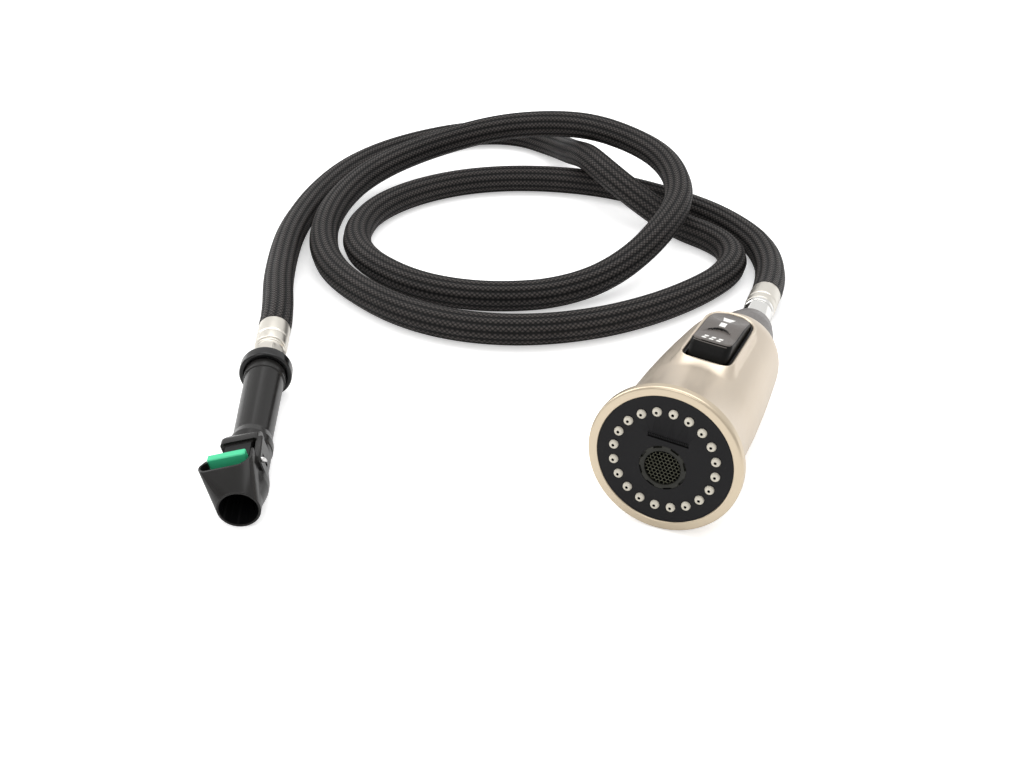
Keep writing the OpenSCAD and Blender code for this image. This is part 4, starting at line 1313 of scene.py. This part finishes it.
@dataclass
class Rocker:
    """The two-way rocker button with its printed marks.

    Its side is drawn by (distance, height) points along the crown, and each dash row is
    its distance and its shift aside.
    """

    width: float = 15.2
    base: float = 36.0
    lean: float = 1.8
    back: float = 75.5
    corner: float = 2.4
    bow: float = 0.5
    low: float = 16.5
    edge: float = 1.1
    notch_front: float = 46.5
    notch_depth: float = 7.3
    notch_half: float = 6.0
    dish_l: float = 67.3
    dish_r: float = 7.2
    dish_depth: float = 0.62
    side: tuple[Point2, ...] = ((34.0, 27.1), (38.6, 27.1), (46.5, 26.9), (52.0, 27.5),
                                (57.0, 28.0), (60.0, 28.1), (65.0, 27.85), (70.5, 27.4),
                                (77.0, 26.7))
    notch_floor: float = 26.9
    notch_slope: float = 0.02
    notch_soft: float = 0.55
    shoulder_h: float = 26.0
    lean_from: float = 21.5
    lean_over: float = 5.0
    flank: tuple[float, ...] = (0.0, 0.25, 0.5, 0.7, 0.85, 1.0)
    edge_steps: int = 7
    painted_sheen_slope: float = 0.72
    lever: tuple[float, ...] = (-1.5, 1.5, 55.8, 58.2)
    lever_low: float = 2.2
    lever_high: float = 18.0
    crown_rings: int = 84
    jet_mark: tuple[Point2, ...] = ((-1.25, 62.6), (1.25, 62.6), (2.3, 68.6), (-2.3, 68.6))
    stem_mark: tuple[Point2, ...] = ((-1.15, 54.9), (1.15, 54.9), (1.15, 58.9),
                                     (-1.15, 58.9))
    mark_lift: float = 0.045
    mark_sink: float = 0.03
    dash_rows: tuple[Point2, ...] = ((40.2, -0.15), (42.6, 0.25))
    dash_slant: float = 0.1
    dash_step: float = 2.7
    dash_half: float = 0.75
    marks_aside: float = -0.45

    def back_height(self, l: float) -> float:
        """Returns the height of the button's crown along its middle."""
        side = self.side
        for (l0, h0), (l1, h1) in zip(side, side[1:]):
            if l <= l1:
                return h0 + (h1 - h0) * max(0.0, (l - l0) / (l1 - l0))
        return side[-1][1]

    def top(self, x: float, l: float) -> float:
        """Returns the height of the button's top, with its notch and thumb dish."""
        high = sum(self.back_height(l + d) for d in (-1.0, -0.5, 0.0, 0.5, 1.0)) / 5
        arc = self.notch_front + self.notch_depth * (1 - (x / self.notch_half) ** 2)
        if abs(x) < self.notch_half and l > self.notch_front - 1:
            floor = self.notch_floor - self.notch_slope * (l - self.notch_front)
            inside = smooth((arc - l) / self.notch_soft) * smooth(l - self.notch_front + 1)
            high -= max(0.0, high - floor) * inside
        d = math.hypot(x, l - self.dish_l) / self.dish_r
        if d < 1:
            high -= self.dish_depth * (1 - d * d)
        return high

    def ring(self, grow: float, front: float) -> list[Point2]:
        """Returns an outline of the button, moved outward by grow."""
        return plan_outline(self.width, front, self.back, self.corner, grow, self.bow, 10)

    def button(self) -> Object:
        """Returns the button with its rounded edges and its lever; its upward faces get a
        lighter finish as painted sheen.
        """
        rings = []
        front_top = self.base + self.lean
        for share in self.flank:
            z = self.low + share * (self.shoulder_h - self.low)
            lean = self.lean * min(1.0, max(0.0, (z - self.lean_from) / self.lean_over))
            plan = self.ring(0.0, self.base + lean)
            rings.append([(x, l, self.low + share * (self.top(x, l) - self.edge - self.low))
                          for x, l in plan])
        for k in range(1, self.edge_steps + 1):
            a = math.radians(90 * k / self.edge_steps)
            inset = self.edge * (1 - math.cos(a))
            drop = self.edge * (1 - math.sin(a))
            rings.append([(x, l, self.top(x, l) - drop)
                          for x, l in self.ring(-inset, front_top)])
        plan = self.ring(-self.edge, front_top)
        mid_l = (front_top + self.back) / 2
        for k in range(1, self.crown_rings):
            share = 1 - k / self.crown_rings
            rings.append([(x * share, mid_l + (l - mid_l) * share,
                           self.top(x * share, mid_l + (l - mid_l) * share))
                          for x, l in plan])
        lever = prism(block(*self.lever), self.lever_low, self.lever_high)
        cap = new_object("rocker_cap", joined(loft(rings), lever), PLACES.rocker(),
                         BUTTON_BLACK, 40)
        # Upward faces get the lighter finish: painted sheen.
        return refinish(cap, BUTTON_PAINTED_SHEEN, lambda face: face.normal.z > self.painted_sheen_slope)

    def mark(self, corners: Sequence[Point2], fine: int = 8) -> Shape:
        """Returns a thin printed patch that follows the button's top.

        Args:
            corners: four (x, l) corners in order.
            fine: pieces along each side.

        Returns:
            Points and faces.
        """
        a, b, c, d = (Vector(p) for p in corners)
        layers = []
        for lift in (self.mark_lift, -self.mark_sink):
            for i in range(fine + 1):
                left, right = a.lerp(d, i / fine), b.lerp(c, i / fine)
                for j in range(fine + 1):
                    p = left.lerp(right, j / fine)
                    layers.append((p.x, p.y, self.top(p.x, p.y) + lift))
        n = fine + 1
        faces = []
        for i in range(fine):
            for j in range(fine):
                q = (i * n + j, i * n + j + 1, (i + 1) * n + j + 1, (i + 1) * n + j)
                faces.append(q)
                faces.append(tuple(k + n * n for k in reversed(q)))
        rim = [*range(n), *(i * n + fine for i in range(1, n)),
               *(fine * n + j for j in range(fine - 1, -1, -1)),
               *(i * n for i in range(fine - 1, 0, -1))]
        for k, p in enumerate(rim):
            q = rim[(k + 1) % len(rim)]
            faces.append((q, p, p + n * n, q + n * n))
        return layers, faces

    def marks(self) -> Object:
        """Returns the printed marks: a jet sign at the back, spray dashes in front."""
        shapes = [self.jet_mark, self.stem_mark]
        half, slant = self.dash_half, self.dash_slant
        for x in (-self.dash_step, 0.0, self.dash_step):
            for l, shift in self.dash_rows:
                shapes.append([(x - half + shift - slant, l - half),
                               (x + half + shift - slant, l - half),
                               (x + half + shift + slant, l + half),
                               (x - half + shift + slant, l + half)])
        patches = joined(*(self.mark([(x + self.marks_aside, l) for x, l in shape])
                           for shape in shapes))
        return new_object("button_marks", patches, PLACES.rocker(), ICON_WHITE, 60)


@dataclass
class HeadEnd:
    """The collar behind the shell, and the nut and ferrule of the hose's end."""

    shell: float = 101.0
    collar_l: float = 23.0
    collar: float = 13.6
    spigot: float = 10.1
    spigot_l: float = 12.0
    bore: float = 5.4
    stem: float = 5.05
    groove_back: float = 5.4
    groove: float = 0.7
    nut_from: float = 125.6
    nut_to: float = 143.0
    nut: float = 6.6
    ferrule_to: float = 163.0
    ferrule: float = 6.8

    def neck(self) -> Object:
        """Returns the dark collar."""
        s, c, n = self.shell, self.collar, self.collar_l
        return turned("neck_collar", [
            (self.spigot, s + 0.05), (c - 0.7, s + 0.05, 0.3), (c - 0.45, s + 2.5, 4),
            (c - 1.9, s + n * 0.5, 20), (c - 4.1, s + n * 0.84, 6),
            (c - 5.2, s + n * 0.94, 1.6), (c - 6.7, s + n, 0.8), (self.bore, s + n),
            (self.bore, s + self.spigot_l), (self.spigot, s + self.spigot_l)],
            PLACES.head(), COLLAR_GREY, sides=144, steps=8)

    def coupling(self) -> Object:
        """Returns the polished nut."""
        a, b, r, s = self.nut_from, self.nut_to, self.nut, self.stem
        groove, low = b - self.groove_back, r - self.groove
        return turned("coupling_nut", [
            (s, a), (r - 0.1, a, 0.5), (r, a + 1.2, 1), (r, groove, 0.5),
            (low, groove + 0.6, 0.3), (low, groove + 1.6, 0.3),
            (r, groove + 2.2, 0.5), (r, b - 0.1, 0.6), (s, b)], PLACES.bend(), CHROME)

    def crimp(self) -> Object:
        """Returns the ferrule at the spray head."""
        return crimped("head_crimp", self.nut_to, self.ferrule_to, self.ferrule,
                       PLACES.bend())


def crimped(name: str, start: float, end: float, r: float, place: Matrix,
            bore: float = 4.3) -> Object:
    """Returns a ferrule with a shallow crimped groove about the Y axis.

    Args:
        name: the object's name.
        start: where it starts.
        end: where it ends.
        r: its radius.
        place: placement of the local frame, in millimetres.
        bore: the radius of its hole.

    Returns:
        The new object.
    """
    return turned(name, [
        (bore, start), (r - 0.1, start + 0.02, 0.6), (r, start + 5.0, 0.4),
        (r - 0.3, start + 5.6, 0.3), (r - 0.3, start + 6.3, 0.3), (r, start + 6.9, 0.4),
        (r, end - 0.05, 0.8), (r - 0.9, end, 0.2), (bore, end)], place, FERRULE)


@dataclass
class ValveSpring:
    """The check valve's spring, kept as the CAD coil.

    Attributes:
        node: the CAD node whose coil it keeps.
        travel: the poppet's travel, in metres; not used.
        slack: shortening beyond the travel, in metres, so that the ends stay apart; not used.
        along: the head's axis, which the poppet slides on; not used.
    """

    node: str = "check_valve_spring"
    travel: float = 0.0025
    slack: float = 0.00005
    along: Point3 = (0.0, 0.995573, -0.093992)

    def build(self) -> Object:
        """Returns the coil, with its place in its mesh."""
        source = bpy.data.objects[self.node]
        mesh = source.data.copy()
        mesh.transform(source.matrix_world)
        mesh.materials.clear()
        mesh.materials.append(STEEL.build())
        piece = link_object("valve_coil", mesh)
        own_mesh(piece)
        return piece


# ------------------------------------------------------------------ connector


@dataclass
class Latch:
    """The push-on body with its scoop, box, green lock tab and wire clip.

    The window and the slit are given by their left, right, front and back.
    """

    mouth: float = 7.8
    socket: float = 6.9
    socket_l: float = 18.0
    swell: float = 9.2
    swell_l: float = 13.0
    barrel: float = 8.1
    ring_l: float = 35.0
    shoulder: float = 8.4
    tube_front: float = 7.4
    tube_back: float = 7.85
    step: float = 8.4
    flange_at: float = 84.0
    bore: float = 5.3
    lip_left: float = -12.2
    lip_right: float = 7.4
    lip_at: float = 8.6
    lip_h: float = 12.5
    left_r: float = 3.0
    right_r: float = 5.6
    lip_back: float = 17.7
    wall: float = 0.9
    bed: float = 8.05
    box_half: float = 7.1
    box_front: float = 26.0
    box_flat: float = 3.4
    box_h: float = 11.0
    box_round: float = 1.5
    box_end: float = 33.6
    tab_front: float = 14.5
    tab_t: float = 3.2
    tab_left: float = -9.4
    tab_right: float = 4.6
    tab_low: float = 8.4
    tab_top: float = 13.0
    clip_l: float = 19.4
    clip_h: float = 4.4
    bed_right: float = 6.5
    window: tuple[float, ...] = (-5.7, 5.3, 25.0, 30.3)
    slit: tuple[float, ...] = (7.4, 12.0, 18.6, 20.3)
    slit_low: float = 2.0
    slit_high: float = 7.4
    roof: float = 0.95
    tube_sides: int = 96
    bore_end: float = 50.0
    panel_front: float = 14.6
    panel_back: float = 27.6
    tongue: float = 4.9
    tongue_back: float = 27.3
    tongue_top: float = 10.0
    tongue_t: float = 0.18
    rail_gap: float = 1.1

    def lip(self, inset: float, back: float, fine: int = 14) -> list[Point2]:
        """Returns the plan of the scoop's lip: a round left end, a wide right corner.

        Args:
            inset: how far the plan is moved inward.
            back: distance of its back edge on the right.
            fine: points in each quarter turn.

        Returns:
            Points (x, l).
        """
        left_x = self.lip_left + self.left_r
        left_l = self.lip_at + self.left_r
        r = self.left_r - inset
        out = []
        for k in range(2 * fine + 1):
            a = math.radians(180 * k / (2 * fine))
            out.append((left_x - r * math.sin(a), left_l + r * math.cos(a)))
        right = self.lip_right - inset
        r = self.right_r - inset
        for k in range(fine + 1):
            a = math.radians(90 * k / fine)
            out.append((right - r + r * math.sin(a), self.lip_at + inset + r - r * math.cos(a)))
        out.append((right, back))
        out.append((left_x + 2.0, back))
        return out

    def column(self, name: str, plan: Sequence[Point2], low: float, high: float) -> Object:
        """Returns a plan of (x, l) points raised from one height to another."""
        return new_object(name, prism(plan, low, high), PLACES.connector(),
                          CONNECTOR_BLACK)

    def rod(self, name: str, r: float, start: float, end: float) -> Object:
        """Returns a plain round rod on the connector's axis."""
        return new_object(name, loft([circle(r, l, self.tube_sides)
                                      for l in (start, end)]),
                          PLACES.connector(), CONNECTOR_BLACK)

    def barrel_object(self) -> Object:
        """Returns the turned part: mouth, swell, shoulder ring and long tube."""
        g, f = self.ring_l, self.flange_at
        return turned("latch_body", [
            (self.socket, 0.0, 0.25), (self.mouth, 0.0, 0.3), (self.mouth, 5.0, 6),
            (self.swell, self.swell_l - 1.5, 6), (self.swell, self.swell_l + 2, 6),
            (self.barrel, self.swell_l + 9, 8), (self.barrel, g - 2.1, 0.5),
            (self.shoulder, g - 1.7, 0.5), (self.shoulder, g + 1.9, 0.6),
            (self.tube_front, g + 6, 4), (self.tube_back, f - 5, 0.5),
            (self.step, f - 4.4, 0.5), (self.step, f), (self.bore, f),
            (self.bore, self.socket_l), (self.socket, self.socket_l)],
            PLACES.connector(), CONNECTOR_BLACK, sharp=32)

    def scoop(self) -> Object:
        """Returns the front scoop, from the mouth up to the wide lip."""
        points = [p for l in (0.25, self.lip_at + 2) for p in circle(self.mouth, l, 128)]
        for z, inset in ((self.lip_h - 2.5, 0.0), (self.lip_h - 0.25, 0.0),
                         (self.lip_h - 0.07, 0.07), (self.lip_h, 0.25)):
            points += [(x, l, z) for x, l in self.lip(inset, self.lip_back)]
        return hull_object("scoop", points, PLACES.connector(), CONNECTOR_BLACK)

    def box(self) -> Object:
        """Returns the box behind the tab, which slopes down to the shoulder ring."""
        rings = []
        front, half, high, r = self.box_front, self.box_half, self.box_h, self.box_round
        for l, top, inset in ((front, high, 0.2), (front + 0.2, high, 0.0),
                              (front + self.box_flat - 0.4, high, 0.0),
                              (front + self.box_flat + 0.4, high - 0.3, 0.0),
                              (self.box_end, self.shoulder + 0.1, 0.0)):
            ring = [(half - inset, l, 0.0)]
            for side in (1, -1):
                for k in range(9):
                    a = math.radians(90 * (k if side > 0 else 8 - k) / 8)
                    ring.append((side * (half - inset - r + r * math.cos(a)), l,
                                 top - inset - r + r * math.sin(a)))
            ring.append((-half + inset, l, 0.0))
            rings.append(ring)
        return new_object("latch_box", loft(rings), PLACES.connector(), CONNECTOR_BLACK)

    def panel(self) -> Object:
        """Returns the flat wall on the right, between the scoop and the box."""
        points = []
        for x, d in ((5.0, 0.0), (8.5, 0.0), (8.9, 0.4)):
            front, back = self.panel_front + d, self.panel_back - d
            points += [(x, front, 0.5), (x, back, 0.5), (x, front, 8.2 - d),
                       (x, 16.2 + d, 9.0 - d), (x, back, 10.2 - d)]
        return hull_object("latch_panel", points, PLACES.connector(), CONNECTOR_BLACK)

    def body(self) -> Object:
        """Returns the black body with its scoop, box, bore and window."""
        back, high = self.box_front + 0.1, self.lip_h + 3
        bed = block(self.tab_left - 0.25, self.bed_right, self.tab_front - 0.2, back)
        cutters = [self.column(*cutter) for cutter in (
            ("hollow", self.lip(self.wall, back), self.bed, high),
            ("bed", bed, self.bed, high),
            ("window", block(*self.window), self.bed, self.box_h - self.roof),
            ("slit", block(*self.slit), self.slit_low, self.slit_high))]
        mouth = self.rod("mouth", self.socket, -1.0, self.socket_l)
        bore = self.rod("bore", self.bore, self.socket_l - 1, self.bore_end)
        body = carve(self.barrel_object(), CONNECTOR_BLACK, [*cutters, mouth, bore],
                     joins=[self.scoop(), self.box(), self.panel()], sharp=34)
        # The bore, the bed under the tab and the box's cavity get the black finish: painted
        # shade.
        return refinish(body, FRAME_BLACK_AND_SHADE, self.inside)

    def inside(self, face: MeshPolygon) -> bool:
        """Returns whether a face of the body lies in one of its hollows, which are painted
        black as shade.
        """
        spot = PLACES.connector().inverted() @ (face.center / MM)
        around = math.hypot(spot.x, spot.z)
        in_shaded_bore = around < self.socket + 0.05 and 0.4 < spot.y < self.flange_at - 1
        in_bed = (self.bed - 0.05 < spot.z < self.bed + 0.05
                  and self.lip_at < spot.y < self.box_front + 5)
        in_box = (abs(spot.x + 0.2) < 5.6 and spot.z > self.bed
                  and self.box_front + 0.3 < spot.y < self.box_front + 4.6
                  and spot.z < self.box_h - 0.5)
        return in_shaded_bore or in_bed or in_box

    def tab(self) -> Object:
        """Returns the green lock tab with its tongue: a thin black sheet on rails, painted
        shade in the box.
        """
        points = []
        a, b = self.tab_front, self.tab_front + self.tab_t
        for d, e, g in ((0.0, 0.35, 0.35), (0.35, 0.0, 0.35), (0.35, 0.35, 0.0)):
            for x in (self.tab_left + d, self.tab_right - d):
                for l in (a + e, b - e):
                    for z in (self.tab_low, self.tab_top - g):
                        points.append((x, l, z))
        tab = hull_object("lock_tab", points, PLACES.connector(), TAB_GREEN)
        place, front, back = PLACES.connector(), b - 0.4, self.tongue_back
        low = self.tongue_top - self.tongue_t
        # The tongue and its rails are black: painted shade inside the box.
        painted_shade_sheet = new_object("tongue", prism(block(-self.tongue, self.tongue, front, back),
                                           low, self.tongue_top), place, FRAME_BLACK_AND_SHADE)
        for x0, x1 in ((-self.tongue, -self.rail_gap), (self.rail_gap, self.tongue)):
            rail = prism(block(x0, x1, front, back), self.tab_low, low + 0.01)
            painted_shade_sheet = merge(painted_shade_sheet, new_object("rail", rail, place, FRAME_BLACK_AND_SHADE))
        return merge(tab, painted_shade_sheet)

    def wire(self, name: str, path: Sequence[Point3], radii: Sequence[float]) -> Object:
        """Returns one piece of the clip's wire, with a radius at each point."""
        return new_object(name, wire_mesh(path, radii), PLACES.connector(), STEEL, 60)

    def clip(self) -> Object:
        """Returns the sprung wire clip, whose bent end shows on the panel."""
        l, h = self.clip_l, self.clip_h
        path = [(6.9, l, h - 1.4), (7.6, l, h - 0.4), (8.6, l, h), (9.3, l - 0.5, h + 0.5),
                (9.5, l - 1.5, h + 1.5), (9.45, l - 2.5, h + 2.6),
                (9.35, l - 3.3, h + 3.6), (9.3, l - 3.6, h + 4.1)]
        right = self.wire("wire_clip", path, [0.55, 0.6, 0.6, 0.6, 0.62, 0.85, 0.85, 0.45])
        path = [(-6.9, l, h - 1.4), (-7.6, l, h - 0.4), (-8.6, l, h), (-9.7, l, h)]
        return merge(right, self.wire("left_wire", path, [0.55, 0.6, 0.6, 0.45]))


@dataclass
class Tail:
    """The flange, hexagon and ferrule between the connector and the hose."""

    flange_at: float = 84.0
    flange_l: float = 5.8
    flange: float = 10.6
    pipe: float = 6.1
    hex_across: float = 12.4
    hex_l: float = 9.6
    ring: float = 6.2
    bore: float = 3.2
    barb: float = 5.0
    barb_l: float = 20.0
    bevel: float = 0.75
    sides: int = 96
    fitting_l: float = 13.6
    ferrule_l: float = 16.2
    ferrule: float = 6.8

    def stop(self) -> Object:
        """Returns the gloss flange with its dished front."""
        a, b, r, p = self.flange_at, self.flange_at + self.flange_l, self.flange, self.pipe
        return turned("gloss_flange", [
            (p, a + 0.9), (8.3, a + 0.9, 0.4), (r - 1.9, a, 0.6), (r, a, 2.2),
            (r, b, 2.2), (r - 2.2, b, 0.8), (p, b - 0.5)],
            PLACES.connector(), FLANGE_BLACK, sides=144, sharp=50, steps=10)

    def fitting(self) -> Object:
        """Returns the hexagon with its turned ring and barb."""
        a = self.flange_at + self.flange_l
        b = a + self.hex_l
        corner = self.hex_across / math.sqrt(3)
        rings = []
        for l, cap in ((a, corner - self.bevel), (a + 0.5, corner), (b - 0.5, corner),
                       (b, corner - self.bevel)):
            ring = []
            for j in range(self.sides):
                t = 2 * math.pi * j / self.sides
                flat = (t + math.pi / 6) % (math.pi / 3) - math.pi / 6
                r = min(cap, self.hex_across / 2 / math.cos(flat))
                ring.append((r * math.cos(t + math.pi / 6), l, r * math.sin(t + math.pi / 6)))
            rings.append(ring)
        end, ring, bore, barb = a + self.fitting_l, self.ring, self.bore, self.barb
        start = a - self.barb_l
        tail = fillet([(bore, start), (barb, start), (barb, b - 0.1), (ring, b - 0.1),
                       (ring, b + 1.2, 0.3), (ring - 0.5, b + 1.6, 0.2),
                       (ring - 0.5, b + 2.6, 0.2), (ring, b + 3.0, 0.3), (ring, end),
                       (bore, end)], 5)
        return new_object("hex_fitting", joined(loft(rings), lathe(tail, self.sides)),
                          PLACES.connector(), FERRULE, 30)

    def crimp(self) -> Object:
        """Returns the ferrule at the connector."""
        a = self.flange_at + self.flange_l + self.fitting_l
        return crimped("tail_crimp", a, a + self.ferrule_l, self.ferrule,
                       PLACES.connector())


# ------------------------------------------------------------------ studio


@dataclass
class Studio:
    """Camera, floor and light of a plain white product picture.

    The eye is in millimetres. Each lamp is its name, its place, the point it faces and
    its width and height in metres, and its power in watts.
    """

    eye: Point3 = (93.1, -402.36, 281.4)
    azimuth: float = 23.66
    down: float = 32.44
    lens: float = 44.4
    sensor: float = 36.0
    floor_half: float = 4.0
    floor_lift: float = 0.45
    floor_tone: float = 0.90
    sky_way: Point3 = (0.0, 0.62, 0.78)
    sky_stops: Point2 = (0.30, 0.92)
    sky_low: Point3 = (0.68, 0.67, 0.655)
    sky_share: float = 0.90
    lamps: tuple[tuple, ...] = (
        ("top", (-0.1, 0.45, 1.25), (-0.1, 0.0, 0.0), (1.5, 1.2), 9),
        ("left", (-1.2, 0.0, 0.7), (0.0, 0.0, 0.0), (0.7, 0.9), 5),
        ("front", (-0.2, -1.4, 1.3), (0.0, 0.0, 0.0), (0.9, 0.7), 4))

    def camera(self) -> None:
        """Adds the camera."""
        data = bpy.data.cameras.new("camera")
        data.lens = self.lens
        data.sensor_width = self.sensor
        data.sensor_fit = "HORIZONTAL"
        data.clip_start, data.clip_end = 0.01, 30.0
        cam = link_object("camera", data)
        cam.location = Vector(self.eye) * MM
        cam.rotation_euler = (math.radians(90 - self.down), 0,
                              math.radians(self.azimuth))
        bpy.context.scene.camera = cam

    def floor(self) -> None:
        """Adds the white floor."""
        h = self.floor_half
        mesh = raw_mesh("floor", ([(-h, -h, 0), (h, -h, 0), (h, h, 0), (-h, h, 0)],
                                  [(0, 1, 2, 3)]))
        material, draft = start_material("floor_white")
        seen = draft.add("ShaderNodeLightPath").outputs["Is Camera Ray"]
        draft.shade({"Base Color": (*[self.floor_tone] * 3, 1.0), "Roughness": 0.9,
                     "Specular IOR Level": 0.0, "Emission Color": (1.0, 1.0, 1.0, 1.0),
                     "Emission Strength": draft.math("MULTIPLY", seen, self.floor_lift)})
        mesh.materials.append(material)
        obj = link_object("floor", mesh)

    def world(self) -> None:
        """Adds a white surrounding, plainer and darker in reflections than to the eye."""
        world = bpy.data.worlds.new("white")
        bpy.context.scene.world = world
        world.use_nodes = True
        tree = world.node_tree
        tree.nodes.clear()
        draft = NodeDraft(tree)
        ray = draft.add("ShaderNodeLightPath")
        seen = draft.add("ShaderNodeBackground", {"Color": (1, 1, 1, 1), "Strength": 1.0})
        way = draft.add("ShaderNodeTexCoord").outputs["Generated"]
        lean = draft.add("ShaderNodeVectorMath", {0: way, 1: self.sky_way},
                         operation="DOT_PRODUCT").outputs["Value"]
        tone = draft.ramp(draft.math("MULTIPLY_ADD", lean, 0.5, 0.5), self.sky_stops,
                          self.sky_low, (1.0, 1.0, 1.0))
        lit = draft.add("ShaderNodeBackground", {"Color": tone,
                                                 "Strength": self.sky_share})
        mix = draft.add("ShaderNodeMixShader", {0: ray.outputs["Is Camera Ray"],
                                                1: lit.outputs[0], 2: seen.outputs[0]})
        draft.add("ShaderNodeOutputWorld", {"Surface": mix.outputs[0]})

    def lamp(self, name: str, spot: Point3, aim: Point3, size: Point2,
             power: float) -> None:
        """Adds one rectangular soft light.

        Args:
            name: its name.
            spot: its place in metres.
            aim: the point it faces, in metres.
            size: its width and height in metres.
            power: its power in watts.
        """
        data = bpy.data.lights.new(name, "AREA")
        data.shape = "RECTANGLE"
        data.size, data.size_y = size
        data.energy = power
        lamp = link_object(name, data)
        lamp.location = spot
        way = Vector(aim) - Vector(spot)
        lamp.rotation_mode = "QUATERNION"
        lamp.rotation_quaternion = way.to_track_quat("-Z", "Y")

    def build(self) -> None:
        """Adds everything that isn't the object."""
        self.camera()
        self.floor()
        self.world()
        for lamp in self.lamps:
            self.lamp(*lamp)
        bpy.context.scene.view_settings.view_transform = "Standard"


def dress_nodes() -> None:
    """Gives every CAD node that stays the finish of its slot."""
    for obj in [o for o in bpy.data.objects if o.name in NODE_NAMES]:
        for i, slot in enumerate(obj.material_slots):
            key = (slot.material.name if slot.material else "").split(".")[0]
            finish = SLOT_FINISHES.get(key)
            if finish is not None:
                obj.data.materials[i] = finish.build()


def settle(piece: Object, body: Body, slot: str, *nodes: str) -> Object:
    """Makes a piece ride on a body and stand for the nodes that it replaces.

    Args:
        piece: the finished piece.
        body: the body it rides on.
        slot: the name of a material slot; not used.
        nodes: the CAD nodes it stands for.

    Returns:
        The piece.
    """
    if nodes:
        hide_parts(*nodes)
    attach(piece, body.value)
    LOG.info("%s: %d faces on %s", piece.name, len(piece.data.polygons), body.value)
    return piece


def main() -> None:
    """Builds the pieces in order."""
    logging.basicConfig(level=logging.INFO, format="%(message)s")
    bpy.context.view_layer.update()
    hose = Hose()
    tube = hose.build()
    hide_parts("hose")
    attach(tube, Body.HOSE.value)
    face, rocker, end = SprayFace(), Rocker(), HeadEnd()
    latch, tail = Latch(), Tail()
    settle(HeadShell().build(), Body.HEAD, "nickel", "head_shell")
    settle(face.ring(), Body.HEAD, "rim_nickel", "face_ring")
    settle(face.nozzles(), Body.HEAD, "nozzle_rubber", "nozzle_mat")
    settle(face.honeycomb(), Body.HEAD, "aerator_grey", "aerator_screen")
    settle(rocker.button(), Body.ROCKER, "button_black", "rocker_button")
    settle(rocker.marks(), Body.ROCKER, "white_plastic")
    settle(end.neck(), Body.HEAD, "collar_grey", "inlet_collar")
    settle(ValveSpring().build(), Body.HEAD, "steel", "check_valve_spring")
    body = settle(latch.body(), Body.HOSE, "connector_black", "connector_body")
    clip = settle(latch.clip(), Body.HOSE, "steel", "retaining_clip")
    tab = settle(latch.tab(), Body.LOCK, "tab_green", "lock_slide")
    nut = settle(end.coupling(), Body.HOSE, "nut_chrome", "swivel_nut")
    crimp = settle(end.crimp(), Body.HOSE, "ferrule_nickel", "head_ferrule")
    stop = settle(tail.stop(), Body.HOSE, "flange_black", "stop_flange")
    fitting = settle(tail.fitting(), Body.HOSE, "ferrule_nickel", "tail_fitting")
    tail_crimp = settle(tail.crimp(), Body.HOSE, "ferrule_nickel", "tail_ferrule")
    dress_nodes()
    Studio().build()


if __name__ == "__main__":
    main()
